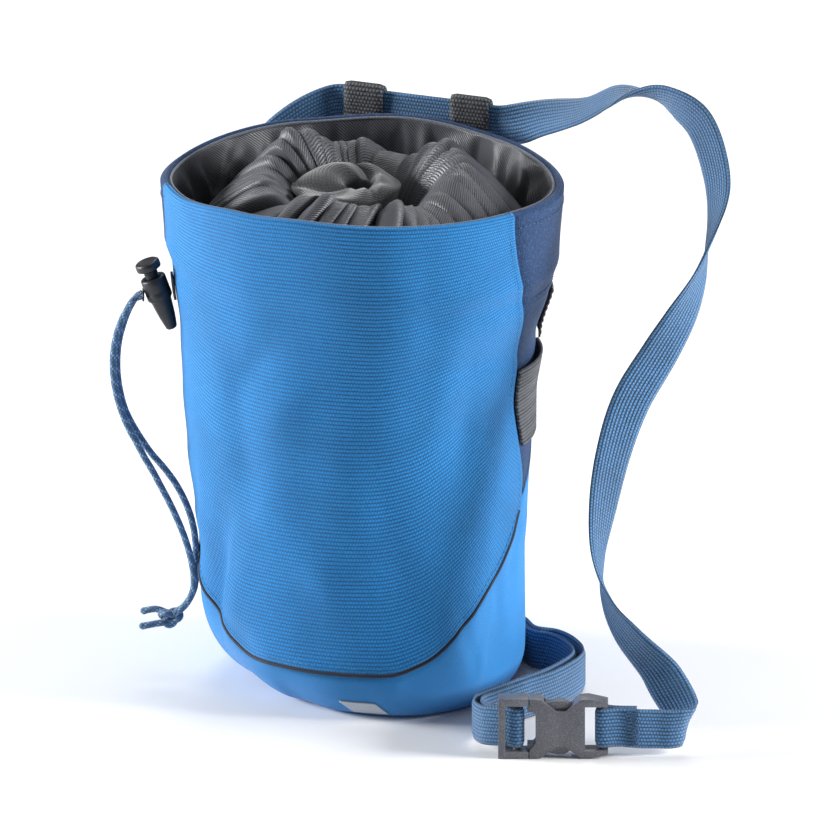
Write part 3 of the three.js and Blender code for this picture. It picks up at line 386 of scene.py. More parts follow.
def strap_frames(at, across, samples):
    """Centres, directions across and directions out of a strap along its route."""
    centres = catmull_centripetal(at, samples)
    side = catmull_uniform(across, samples)
    along = unit(np.gradient(centres, axis=0))
    side = unit(side - along * np.sum(side * along, axis=1, keepdims=True))
    return centres, side, np.cross(along, side)


def webbing_object(name, at, across, width, thickness, samples, edge=0.55, columns=8):
    """Woven strap: rounded selvedges, swept along its route, with distance along it in its UV map."""
    centres, side, out = strap_frames(at, across, samples)
    shares = np.linspace(-1, 1, columns + 1)
    half = width / 2
    ring = []
    for face in (1, -1):
        for s in shares[:: face]:
            lift = thickness / 2 * (1 - max(0.0, (abs(s) - 1 + edge / half) / (edge / half)) ** 2 * 0.85)
            ring.append((s * half, face * lift))
    ring = np.array(ring)
    grid = centres[:, None] + side[:, None] * ring[None, :, :1] + out[:, None] * ring[None, :, 1:]
    run = np.concatenate([[0], np.cumsum(np.linalg.norm(np.diff(centres, axis=0), axis=1))])
    uv = np.stack(np.broadcast_arrays(ring[None, :, 0] + half, run[:, None]), axis=-1) / 10
    rows, count = grid.shape[:2]
    faces = grid_faces(rows, count, closed=True)
    faces += [list(range(count))[::-1], [(rows - 1) * count + k for k in range(count)]]
    obj = mesh_object(name, grid, faces, uv)
    turn_outwards(obj)
    return obj


def turn_outwards(obj):
    work = bmesh.new()
    work.from_mesh(obj.data)
    bmesh.ops.recalc_face_normals(work, faces=work.faces)
    work.to_mesh(obj.data)
    work.free()


def tube_object(name, points, radius, sides=12, closed=False, radii=None):
    """Round tube along points in millimetres, with twist-free rings and closed ends."""
    points = np.asarray(points, float)
    count = len(points)
    if closed:
        along = unit(np.roll(points, -1, axis=0) - np.roll(points, 1, axis=0))
    else:
        along = unit(np.gradient(points, axis=0))
    first = np.cross(along[0], (0.0, 0.0, 1.0))
    if np.linalg.norm(first) < 0.2:
        first = np.cross(along[0], (0.0, 1.0, 0.0))
    normal = unit(first)
    normals = []
    for k in range(count):
        normal = unit(normal - along[k] * np.dot(normal, along[k]))
        normals.append(normal)
    normals = np.array(normals)
    binormals = np.cross(along, normals)
    if closed:
        error = math.atan2(np.dot(normals[-1], binormals[0]), np.dot(normals[-1], normals[0]))
        fix = -error * np.arange(count) / count
        c, s = np.cos(fix)[:, None], np.sin(fix)[:, None]
        normals, binormals = normals * c + binormals * s, binormals * c - normals * s
    radii = np.full(count, radius) if radii is None else np.asarray(radii, float)
    turn = np.arange(sides) / sides * 2 * math.pi
    ring = np.cos(turn)[None, :, None] * normals[:, None] + np.sin(turn)[None, :, None] * binormals[:, None]
    grid = points[:, None] + ring * radii[:, None, None]
    run = np.concatenate([[0], np.cumsum(np.linalg.norm(np.diff(points, axis=0), axis=1))])
    uv = np.stack(np.broadcast_arrays((np.arange(sides) / sides)[None, :], run[:, None] / 10), axis=-1)
    faces = grid_faces(count, sides, closed=True)
    if closed:
        last = (count - 1) * sides
        faces += [[last + k, last + (k + 1) % sides, (k + 1) % sides, k] for k in range(sides)]
    else:
        faces += [list(range(sides))[::-1], [(count - 1) * sides + k for k in range(sides)]]
    obj = mesh_object(name, grid, faces, uv)
    turn_outwards(obj)
    return obj


# Node trees


def colour(red, green, blue):
    """Linear colour from the everyday 0 to 255 values."""
    return tuple(
        ((c / 255 + 0.055) / 1.055) ** 2.4 if c > 10 else c / 255 / 12.92 for c in (red, green, blue)
    )


class Sketch:
    """Short ways to add nodes to one tree; a value is a number, a colour or another node's socket."""

    def __init__(self, tree):
        self.tree = tree

    def feed(self, socket, value):
        if value is None:
            return
        if isinstance(value, bpy.types.NodeSocket):
            self.tree.links.new(value, socket)
        elif isinstance(value, (tuple, list)) and socket.type == "RGBA":
            socket.default_value = (*value[:3], 1.0)
        else:
            socket.default_value = value

    def add(self, kind, **settings):
        made = self.tree.nodes.new(kind)
        for key, value in settings.items():
            setattr(made, key, value)
        return made

    def math(self, operation, a, b=None, c=None):
        made = self.add("ShaderNodeMath", operation=operation)
        for socket, value in zip(made.inputs, (a, b, c)):
            self.feed(socket, value)
        return made.outputs[0]

    def mix(self, factor, a, b):
        made = self.add("ShaderNodeMix", data_type="RGBA")
        self.feed(made.inputs[0], factor)
        self.feed(made.inputs[6], a)
        self.feed(made.inputs[7], b)
        return made.outputs[2]

    def noise(self, vector, scale, detail=2.0, roughness=0.5):
        made = self.add("ShaderNodeTexNoise")
        self.feed(made.inputs["Vector"], vector)
        self.feed(made.inputs["Scale"], scale)
        self.feed(made.inputs["Detail"], detail)
        self.feed(made.inputs["Roughness"], roughness)
        return made.outputs[0]

    def stretch(self, vector, x, y):
        made = self.add("ShaderNodeVectorMath", operation="MULTIPLY")
        self.feed(made.inputs[0], vector)
        made.inputs[1].default_value = (x, y, 1.0)
        return made.outputs[0]

    def parts(self, vector):
        made = self.add("ShaderNodeSeparateXYZ")
        self.feed(made.inputs[0], vector)
        return made.outputs

    def ramp(self, value, low, high):
        made = self.add("ShaderNodeMapRange", interpolation_type="SMOOTHSTEP")
        self.feed(made.inputs["Value"], value)
        self.feed(made.inputs["From Min"], low)
        self.feed(made.inputs["From Max"], high)
        return made.outputs["Result"]

    def wave(self, value):
        """One hump for each whole number."""
        return self.math("SINE", self.math("MULTIPLY", self.math("FRACT", value), math.pi))


def shader_group(name, inputs, outputs):
    """A new shader group with its sockets, and a sketch of it."""
    tree = bpy.data.node_groups.new(name, "ShaderNodeTree")
    for label, kind, value in inputs:
        socket = tree.interface.new_socket(name=label, in_out="INPUT", socket_type=kind)
        if value is not None:
            socket.default_value = value
    for label in outputs:
        tree.interface.new_socket(name=label, in_out="OUTPUT", socket_type="NodeSocketFloat")
    sketch = Sketch(tree)
    return tree, sketch, sketch.add("NodeGroupInput").outputs, sketch.add("NodeGroupOutput").inputs


def ribbed_weave_group():
    """Rows of stitch-like picks: humps along the rows, staggered from row to row."""
    tree, s, given, out = shader_group(
        "Ribbed weave",
        (
            ("Place", "NodeSocketVector", None),
            ("Rib pitch", "NodeSocketFloat", 1.4),
            ("Pick pitch", "NodeSocketFloat", 1.0),
            ("Unevenness", "NodeSocketFloat", 0.15),
        ),
        ("Height", "Rib", "Pick"),
    )
    x, y, _ = s.parts(given["Place"])
    drift = s.math("MULTIPLY", s.math("SUBTRACT", s.noise(given["Place"], 3.0), 0.5), given["Unevenness"])
    rows = s.math("ADD", s.math("DIVIDE", s.math("MULTIPLY", y, 10.0), given["Rib pitch"]), drift)
    stagger = s.math("MULTIPLY", s.math("FLOOR", rows), 0.5)
    picks = s.math("ADD", s.math("DIVIDE", s.math("MULTIPLY", x, 10.0), given["Pick pitch"]), stagger)
    rib, pick = s.wave(rows), s.wave(picks)
    s.feed(out["Rib"], rib)
    s.feed(out["Pick"], s.math("MULTIPLY", rib, pick))
    s.feed(out["Height"], s.math("MULTIPLY", rib, s.math("MULTIPLY_ADD", pick, 0.45, 0.55)))
    return tree


def heather_group():
    """Flecks of pale and dark threads that run along and across the cloth."""
    tree, s, given, out = shader_group(
        "Heather threads",
        (("Place", "NodeSocketVector", None), ("Fleck size", "NodeSocketFloat", 1.0)),
        ("Pale", "Dark", "Height"),
    )
    sized = s.add("ShaderNodeVectorMath", operation="SCALE")
    s.feed(sized.inputs[0], given["Place"])
    s.feed(sized.inputs["Scale"], s.math("DIVIDE", 1.0, given["Fleck size"]))
    along = s.noise(s.stretch(sized.outputs[0], 6.0, 26.0), 1.0, 2.0, 0.6)
    across = s.noise(s.stretch(sized.outputs[0], 26.0, 6.0), 1.0, 2.0, 0.6)
    s.feed(out["Pale"], s.ramp(s.math("MAXIMUM", along, across), 0.52, 0.72))
    s.feed(out["Dark"], s.ramp(s.math("MINIMUM", along, across), 0.48, 0.3))
    x, y, _ = s.parts(given["Place"])
    weave = s.math("MULTIPLY", s.wave(s.math("MULTIPLY", x, 14.0)), s.wave(s.math("MULTIPLY", y, 14.0)))
    s.feed(out["Height"], s.math("ADD", s.math("MULTIPLY", weave, 0.6), s.math("MULTIPLY", along, 0.6)))
    return tree


def handling_group():
    """Slow shade differences that handled cloth and moulded parts have, and a fine grain."""
    tree, s, given, out = shader_group(
        "Handling",
        (
            ("Place", "NodeSocketVector", None),
            ("Patch size", "NodeSocketFloat", 30.0),
            ("Grain size", "NodeSocketFloat", 0.4),
        ),
        ("Patches", "Grain"),
    )
    s.feed(out["Patches"], s.noise(given["Place"], s.math("DIVIDE", 1000.0, given["Patch size"]), 3.0))
    s.feed(out["Grain"], s.noise(given["Place"], s.math("DIVIDE", 1000.0, given["Grain size"]), 2.0))
    return tree


def twill_group():
    """Fine slanting wales."""
    tree, s, given, out = shader_group(
        "Twill", (("Place", "NodeSocketVector", None), ("Wale pitch", "NodeSocketFloat", 0.9)), ("Height",)
    )
    x, y, _ = s.parts(given["Place"])
    slant = s.math("DIVIDE", s.math("MULTIPLY", s.math("SUBTRACT", x, y), 10.0), given["Wale pitch"])
    broken = s.math("ADD", slant, s.math("MULTIPLY", s.noise(given["Place"], 6.0), 0.5))
    s.feed(out["Height"], s.wave(broken))
    return tree


def braid_group():
    """Braided sheath: crossing strands from the turn round a cord and the distance along it."""
    tree, s, given, out = shader_group(
        "Braid",
        (
            ("Place", "NodeSocketVector", None), ("Strands", "NodeSocketFloat", 6.0), ("Lay", "NodeSocketFloat", 1.7)
        ),
        ("Height", "Pale", "Dark"),
    )
    x, y, _ = s.parts(given["Place"])
    turn = s.math("MULTIPLY", x, given["Strands"])
    run = s.math("DIVIDE", s.math("MULTIPLY", y, 10.0), given["Lay"])
    a, b = s.math("ADD", turn, run), s.math("SUBTRACT", turn, run)
    s.feed(out["Height"], s.math("MULTIPLY", s.wave(a), s.wave(b)))
    marked = s.math("MODULO", s.math("FLOOR", a), 3.0)
    s.feed(out["Pale"], s.math("MULTIPLY", s.math("COMPARE", marked, 0.0, 0.1), s.wave(b)))
    dark = s.math("MODULO", s.math("FLOOR", b), 4.0)
    s.feed(out["Dark"], s.math("MULTIPLY", s.math("COMPARE", dark, 1.0, 0.1), s.wave(a)))
    return tree


GROUPS = {}


def group_node(s, name, **values):
    made = s.add("ShaderNodeGroup", node_tree=GROUPS[name])
    for label, value in values.items():
        s.feed(made.inputs[label.replace("_", " ")], value)
    return made.outputs


def new_material(name):
    material = bpy.data.materials.new(name)
    material.use_nodes = True
    s = Sketch(material.node_tree)
    shader = material.node_tree.nodes["Principled BSDF"]
    shader.inputs["Specular IOR Level"].default_value = 0.35
    coordinates = s.add("ShaderNodeTexCoord").outputs
    return material, s, shader.inputs, coordinates["UV"], coordinates["Object"]


def bump(s, height, distance_mm):
    made = s.add("ShaderNodeBump")
    made.inputs["Strength"].default_value = 1.0
    made.inputs["Distance"].default_value = distance_mm * MM
    s.feed(made.inputs["Height"], height)
    return made.outputs[0]


def soft_sheen(shader, weight, roughness=0.5):
    shader["Sheen Weight"].default_value = weight
    shader["Sheen Roughness"].default_value = roughness
    shader["Sheen Tint"].default_value = (1.0, 1.0, 1.0, 1.0)


def ribbed_cloth(name, base, pale, dark, rib, pick, depth, rough=0.8, sheen=0.25, lengthwise=False):
    """Matt cloth of ribs and picks: dark between the ribs as painted shade, pale where a pick shows, partly the
    weave's pattern and partly painted highlight.
    """
    material, s, shader, uv, place = new_material(name)
    if lengthwise:
        x, y, _ = s.parts(uv)
        turned = s.add("ShaderNodeCombineXYZ")
        s.feed(turned.inputs[0], y)
        s.feed(turned.inputs[1], x)
        uv = turned.outputs[0]
    weave = group_node(s, "Ribbed weave", Place=uv, Rib_pitch=rib, Pick_pitch=pick)
    handled = group_node(s, "Handling", Place=place, Patch_size=26.0, Grain_size=0.7)
    # Painted shade between the ribs, then painted highlight on the picks' tops.
    body = s.mix(s.ramp(weave["Rib"], 0.0, 0.75), dark, base)
    body = s.mix(s.math("MULTIPLY", s.ramp(weave["Pick"], 0.3, 1.0), 0.75), body, pale)
    grained = s.mix(s.math("MULTIPLY", s.ramp(handled["Grain"], 0.3, 0.7), 0.3), body, pale)
    shade = s.mix(s.math("MULTIPLY", s.ramp(handled["Patches"], 0.35, 0.75), 0.25), grained, dark)
    s.feed(shader["Base Color"], shade)
    s.feed(shader["Roughness"], s.math("MULTIPLY_ADD", handled["Grain"], 0.16, rough - 0.08))
    s.feed(shader["Normal"], bump(s, weave["Height"], depth))
    soft_sheen(shader, sheen)
    return material


def heather_cloth(name, base, pale, dark):
    material, s, shader, uv, place = new_material(name)
    threads = group_node(s, "Heather threads", Place=uv)
    handled = group_node(s, "Handling", Place=place, Patch_size=34.0, Grain_size=0.5)
    body = s.mix(s.math("MULTIPLY", threads["Pale"], 0.7), base, pale)
    body = s.mix(s.math("MULTIPLY", threads["Dark"], 0.7), body, dark)
    s.feed(shader["Base Color"], s.mix(s.math("MULTIPLY", handled["Patches"], 0.2), body, dark))
    s.feed(shader["Roughness"], s.math("MULTIPLY_ADD", handled["Grain"], 0.2, 0.72))
    s.feed(shader["Normal"], bump(s, threads["Height"], 0.12))
    soft_sheen(shader, 0.08)
    return material


def satin_twill(name, base, pale):
    """Lustrous twill with painted highlights on the wales' crests, darkened with painted shade where the mesh marks
    the pleats' valleys.
    """
    material, s, shader, uv, place = new_material(name)
    valley_shade = s.add("ShaderNodeAttribute")
    valley_shade.attribute_name = "Valley shade"
    wales = group_node(s, "Twill", Place=uv, Wale_pitch=1.15)["Height"]
    handled = group_node(s, "Handling", Place=place, Patch_size=18.0, Grain_size=0.6)
    # Painted highlight: the wales' crests are mixed towards pale, standing in for the satin's glint on them.
    body = s.mix(s.math("MULTIPLY", s.ramp(wales, 0.4, 0.95), 0.85), base, pale)
    body = s.mix(s.math("MULTIPLY", handled["Patches"], 0.25), body, base)
    # Painted shade: the pleats' valleys are mixed towards a quarter of the base colour.
    shadow = tuple(v * 0.25 for v in base)
    s.feed(shader["Base Color"], s.mix(s.math("MULTIPLY", valley_shade.outputs["Fac"], 0.9), body, shadow))
    s.feed(shader["Roughness"], s.math("MULTIPLY_ADD", handled["Grain"], 0.18, 0.35))
    s.feed(shader["Normal"], bump(s, s.math("ADD", wales, s.math("MULTIPLY", handled["Grain"], 0.4)), 0.12))
    shader["Specular IOR Level"].default_value = 0.75
    soft_sheen(shader, 0.12, 0.35)
    return material


def brushed_knit(name, base, pale):
    material, s, shader, uv, place = new_material(name)
    handled = group_node(s, "Handling", Place=place, Patch_size=12.0, Grain_size=0.45)
    knit = group_node(s, "Ribbed weave", Place=uv, Rib_pitch=0.9, Pick_pitch=0.9, Unevenness=0.8)
    body = s.mix(s.math("MULTIPLY", s.ramp(handled["Grain"], 0.3, 0.75), 0.8), base, pale)
    # Painted highlight: the knit's raised loops are mixed a little towards pale.
    s.feed(shader["Base Color"], s.mix(s.math("MULTIPLY", knit["Height"], 0.2), body, pale))
    s.feed(shader["Roughness"], s.math("MULTIPLY_ADD", handled["Patches"], 0.1, 0.86))
    s.feed(shader["Normal"], bump(s, s.math("ADD", handled["Grain"], knit["Height"]), 0.16))
    soft_sheen(shader, 0.6, 0.6)
    return material


def moulded_plastic(name, base, dark, pale, speckle, rough, bump_mm):
    """Satin moulding, with specks of dark and pale pigment as strong as speckle."""
    material, s, shader, _, place = new_material(name)
    handled = group_node(s, "Handling", Place=place, Patch_size=9.0, Grain_size=0.5)
    fine = s.noise(place, 3600.0, 1.0)
    body = s.mix(s.math("MULTIPLY", s.ramp(handled["Grain"], 0.5, 0.64), speckle), base, pale)
    body = s.mix(s.math("MULTIPLY", s.ramp(fine, 0.55, 0.72), speckle), body, dark)
    s.feed(shader["Base Color"], s.mix(s.math("MULTIPLY", handled["Patches"], 0.25), body, dark))
    s.feed(shader["Roughness"], s.math("MULTIPLY_ADD", handled["Patches"], 0.2, rough - 0.1))
    s.feed(shader["Normal"], bump(s, s.math("ADD", fine, handled["Grain"]), bump_mm))
    shader["Specular IOR Level"].default_value = 0.5
    return material


def reflective_film(name):
    material, s, shader, uv, place = new_material(name)
    beads = group_node(s, "Ribbed weave", Place=uv, Rib_pitch=0.7, Pick_pitch=0.7, Unevenness=0.1)
    handled = group_node(s, "Handling", Place=place, Patch_size=5.0, Grain_size=0.3)
    s.feed(shader["Base Color"], s.mix(beads["Pick"], colour(150, 158, 168), colour(208, 214, 222)))
    s.feed(shader["Roughness"], s.math("MULTIPLY_ADD", handled["Grain"], 0.2, 0.3))
    s.feed(shader["Normal"], bump(s, beads["Height"], 0.05))
    shader["Metallic"].default_value = 0.25
    return material


def braided_cord(name, base, pale, dark):
    material, s, shader, uv, place = new_material(name)
    braid = group_node(s, "Braid", Place=uv)
    handled = group_node(s, "Handling", Place=place, Patch_size=15.0, Grain_size=0.35)
    body = s.mix(s.math("MULTIPLY", braid["Pale"], 0.8), base, pale)
    body = s.mix(s.math("MULTIPLY", braid["Dark"], 0.8), body, dark)
    # Painted shade: darker where the braid's strands sink between their crossings.
    body = s.mix(s.math("SUBTRACT", 0.5, s.math("MULTIPLY", braid["Height"], 0.5)), body, dark)
    s.feed(shader["Base Color"], body)
    s.feed(shader["Roughness"], s.math("MULTIPLY_ADD", handled["Grain"], 0.2, 0.65))
    s.feed(
        shader["Normal"], bump(s, s.math("ADD", braid["Height"], s.math("MULTIPLY", handled["Grain"], 0.3)), 0.2)
    )
    soft_sheen(shader, 0.3)
    return material


def sewing_thread(name, base, dark):
    material, s, shader, _, place = new_material(name)
    ply = s.noise(place, 3000.0, 2.0)
    s.feed(shader["Base Color"], s.mix(s.ramp(ply, 0.35, 0.65), dark, base))
    s.feed(shader["Roughness"], s.math("MULTIPLY_ADD", ply, 0.2, 0.5))
    s.feed(shader["Normal"], bump(s, ply, 0.05))
    soft_sheen(shader, 0.2)
    return material


FINISHES = {}


def make_finishes(colours):
    """Build the shared groups and every finish once."""
    GROUPS["Ribbed weave"] = ribbed_weave_group()
    GROUPS["Heather threads"] = heather_group()
    GROUPS["Handling"] = handling_group()
    GROUPS["Twill"] = twill_group()
    GROUPS["Braid"] = braid_group()
    azure = tuple(colours.azure)
    navy = tuple(colours.heather)
    charcoal = tuple(colours.lining)
    belt = tuple(colours.belt)

    def light(tone, gain):
        return tuple(min(1.0, v * gain + 0.02) for v in tone)

    def deep(tone, gain):
        return tuple(v * gain for v in tone)

    # Name and label, then base, pale and dark, rib and pick in millimetres, relief, sheen
    # For ribbed_cloth, pale is painted highlight on the picks and dark is painted shade between the ribs.
    ribbed = (
        ("azure_rib", "Azure rib", azure, light(azure, 1.6), deep(azure, 0.5), 1.4, 1.1, 0.3, 0.12),
        # The base panel's cloth is the front's azure, painted 1.25 times lighter as painted light where the base
        # tilts towards the lamps.
        (
            "azure_weave_painted_light", "Azure weave painted light", light(azure, 1.25), light(azure, 1.8), deep(azure, 0.8),
            0.6, 0.6, 0.1, 0.15,
        ),
        (
            "elastic", "Grey elastic", colour(62, 65, 70), colour(120, 124, 130), colour(24, 26, 30),
            1.5, 0.7, 0.4, 0.08,
        ),
        (
            "black_tape", "Black tape", colour(30, 32, 36), colour(58, 60, 66), colour(12, 13, 15),
            1.1, 0.8, 0.2, 0.25,
        ),
        (
            "piping", "Grey piping", colour(84, 92, 104), colour(150, 160, 172), colour(40, 44, 52),
            0.5, 0.5, 0.06, 0.25,
        ),
        (
            "loop", "Charcoal webbing", colour(26, 27, 31), colour(120, 124, 130), colour(10, 11, 13),
            1.45, 1.3, 0.4, 0.05,
        ),
    )
    for key, name, base, pale, dark, rib, pick, relief, sheen in ribbed:
        FINISHES[key] = ribbed_cloth(name, base, pale, dark, rib, pick, relief, sheen=sheen)
    # The belt's pale and dark are painted highlight on its picks and painted shade between its ribs, far from its
    # blue.
    FINISHES["belt"] = ribbed_cloth(
        "Blue webbing", belt, light(belt, 2.6), deep(belt, 0.18),
        1.36, 1.15, 0.36, rough=0.72, lengthwise=True
    )
    FINISHES["heather"] = heather_cloth("Navy heather", navy, light(navy, 3.0), deep(navy, 0.5))
    # The satin's pale, 5.5 times the lining colour, is painted highlight on its wales.
    FINISHES["satin"] = satin_twill("Charcoal satin twill", charcoal, light(charcoal, 5.5))
    FINISHES["knit"] = brushed_knit("Charcoal brushed knit", charcoal, light(charcoal, 2.2))
    FINISHES["cord"] = braided_cord(
        "Blue braid", colour(84, 120, 156), colour(150, 190, 225), colour(24, 44, 78)
    )
    FINISHES["buckle"] = moulded_plastic(
        "Speckled grey moulding", colour(96, 98, 106),
        colour(44, 45, 52), colour(140, 142, 150), 0.5, 0.36, 0.05
    )
    FINISHES["black"] = moulded_plastic(
        "Black moulding", colour(30, 32, 37), colour(14, 15, 18), colour(56, 58, 64), 0.2, 0.42, 0.03
    )
    FINISHES["film"] = reflective_film("Pale reflective film")
    threads = (
        ("azure_thread", "Azure thread", light(azure, 1.3), deep(azure, 0.6)),
        ("navy_thread", "Navy thread", light(navy, 2.0), navy),
        # Painted shadow: a near-black thread finish for the tube that stands for the shade under the front's lower
        # seam.
        ("seam_shadow", "Seam shadow", deep(navy, 0.4), deep(navy, 0.2)),
        ("dark_thread", "Dark thread", colour(66, 68, 74), colour(30, 31, 35)),
        ("belt_thread", "Belt thread", light(belt, 1.4), deep(belt, 0.5)),
    )
    for key, name, base, dark in threads:
        FINISHES[key] = sewing_thread(name, base, dark)


# Stitches


def stitch_tree():
    """Geometry Nodes: rows of short stitches along a line, set a pitch apart."""
    tree = bpy.data.node_groups.new("Stitch run", "GeometryNodeTree")
    tree.interface.new_socket(name="Geometry", in_out="INPUT", socket_type="NodeSocketGeometry")
    for label, value in (("Pitch", 2.4 * MM), ("Stitch length", 1.7 * MM), ("Thread radius", 0.22 * MM)):
        socket = tree.interface.new_socket(name=label, in_out="INPUT", socket_type="NodeSocketFloat")
        socket.default_value = value
        socket.subtype = "DISTANCE"
    tree.interface.new_socket(name="Material", in_out="INPUT", socket_type="NodeSocketMaterial")
    tree.interface.new_socket(name="Geometry", in_out="OUTPUT", socket_type="NodeSocketGeometry")
    s = Sketch(tree)
    given, out = s.add("NodeGroupInput").outputs, s.add("NodeGroupOutput").inputs
    curve = s.add("GeometryNodeMeshToCurve")
    s.feed(curve.inputs["Mesh"], given["Geometry"])
    spaced = s.add("GeometryNodeResampleCurve")
    if hasattr(spaced, "mode"):
        spaced.mode = "LENGTH"
    else:
        spaced.inputs["Mode"].default_value = "Length"
    s.feed(spaced.inputs["Curve"], curve.outputs["Curve"])
    s.feed(spaced.inputs["Length"], given["Pitch"])
    ball = s.add("GeometryNodeMeshIcoSphere")
    ball.inputs["Radius"].default_value = 1.0
    ball.inputs["Subdivisions"].default_value = 2
    size = s.add("ShaderNodeCombineXYZ")
    s.feed(size.inputs[0], s.math("MULTIPLY", given["Stitch length"], 0.5))
    s.feed(size.inputs[1], given["Thread radius"])
    s.feed(size.inputs[2], given["Thread radius"])
    turn = s.add("FunctionNodeAlignRotationToVector", axis="X")
    s.feed(turn.inputs["Vector"], s.add("GeometryNodeInputTangent").outputs[0])
    placed = s.add("GeometryNodeInstanceOnPoints")
    s.feed(placed.inputs["Points"], spaced.outputs["Curve"])
    s.feed(placed.inputs["Instance"], ball.outputs["Mesh"])
    s.feed(placed.inputs["Rotation"], turn.outputs["Rotation"])
    s.feed(placed.inputs["Scale"], size.outputs[0])
    real = s.add("GeometryNodeRealizeInstances")
    s.feed(real.inputs[0], placed.outputs["Instances"])
    smooth = s.add("GeometryNodeSetShadeSmooth")
    s.feed(smooth.inputs[0], real.outputs[0])
    finish = s.add("GeometryNodeSetMaterial")
    s.feed(finish.inputs["Geometry"], smooth.outputs[0])
    s.feed(finish.inputs["Material"], given["Material"])
    s.feed(out["Geometry"], finish.outputs[0])
    return tree


def stitches(name, lines, finish, slot, pitch, length=1.7, radius=0.22):
    """One piece of stitches along lines of points in millimetres."""
    points, edges = [], []
    for line in lines:
        start = len(points)
        points += [tuple(float(v) * MM for v in p) for p in line]
        edges += [(k, k + 1) for k in range(start, len(points) - 1)]
    mesh = bpy.data.meshes.new(name)
    mesh.from_pydata(points, edges, [])
    obj = bpy.data.objects.new(name, mesh)
    bpy.context.scene.collection.objects.link(obj)
    tree = bpy.data.node_groups.get("Stitch run") or stitch_tree()
    run = obj.modifiers.new("Stitch run", "NODES")
    run.node_group = tree
    values = {"Pitch": pitch * MM, "Stitch length": length * MM, "Thread radius": radius * MM}
    values["Material"] = FINISHES[finish]
    for item in tree.interface.items_tree:
        if item.item_type == "SOCKET" and item.in_out == "INPUT" and item.name in values:
            run[item.identifier] = values[item.name]
    apply_modifiers(obj)
    finish_piece(obj, FINISHES[finish], BAG, slot)


# Routes, in millimetres


def from_buckle(x, y, z):
    """A place in the buckle's own frame: its middle on the ground, x towards the socket's strap."""
    c, s = math.cos(math.radians(BUCKLE_TURN)), math.sin(math.radians(BUCKLE_TURN))
    x, y = x + BUCKLE_ACROSS, y - BUCKLE_FORWARD
    return (x * c - y * s, x * s + y * c, z)


STRAP_MIDDLE = BUCKLE_HEIGHT / 2
GROUND_MIDDLE = BELT_WIDTH / 2 + 0.6
SOCKET_BAR = BUCKLE_LENGTH / 2 - 1.8
CLIP_BAR = 6.6 - BUCKLE_LENGTH / 2
BELT_BEHIND = RIM_DEPTH / 2 + 5
BELT_LEVEL = BAG_HEIGHT - 2
WRAP_RADIUS = 1.3 + 0.3 + BELT_THICKNESS / 2


def upright(x, y, z):
    return (from_buckle(x, y, z), (0, 0, 1))


def slanted(x, y, z, lean):
    """A station at the fold by the buckle, whose direction across leans away from the socket."""
    c, s = math.cos(math.radians(BUCKLE_TURN)), math.sin(math.radians(BUCKLE_TURN))
    return (from_buckle(x, y, z), (lean * c, lean * s, math.sqrt(1 - lean * lean)))


def station(x, y, z, *across):
    return ((x * RIM_WIDTH / 2, y * RIM_DEPTH / 2, z * BAG_HEIGHT), across)


def ground(x, y):
    return station(x, y, GROUND_MIDDLE / BAG_HEIGHT, 0, 0, 1)


def at_loops(x):
    return ((x, BELT_BEHIND, BELT_LEVEL), (0, 0, -1))


def wrap_stations(bar, side):
    """The strap round a bar of the buckle, from its back layer to its front layer."""
    stations = []
    for turn in (-80, -40, 0, 40, 80):
        a = math.radians(turn)
        place = from_buckle(bar - side * WRAP_RADIUS * math.cos(a), -WRAP_RADIUS * math.sin(a), STRAP_MIDDLE)
        stations.append((place, (0, 0, 1)))
    return stations


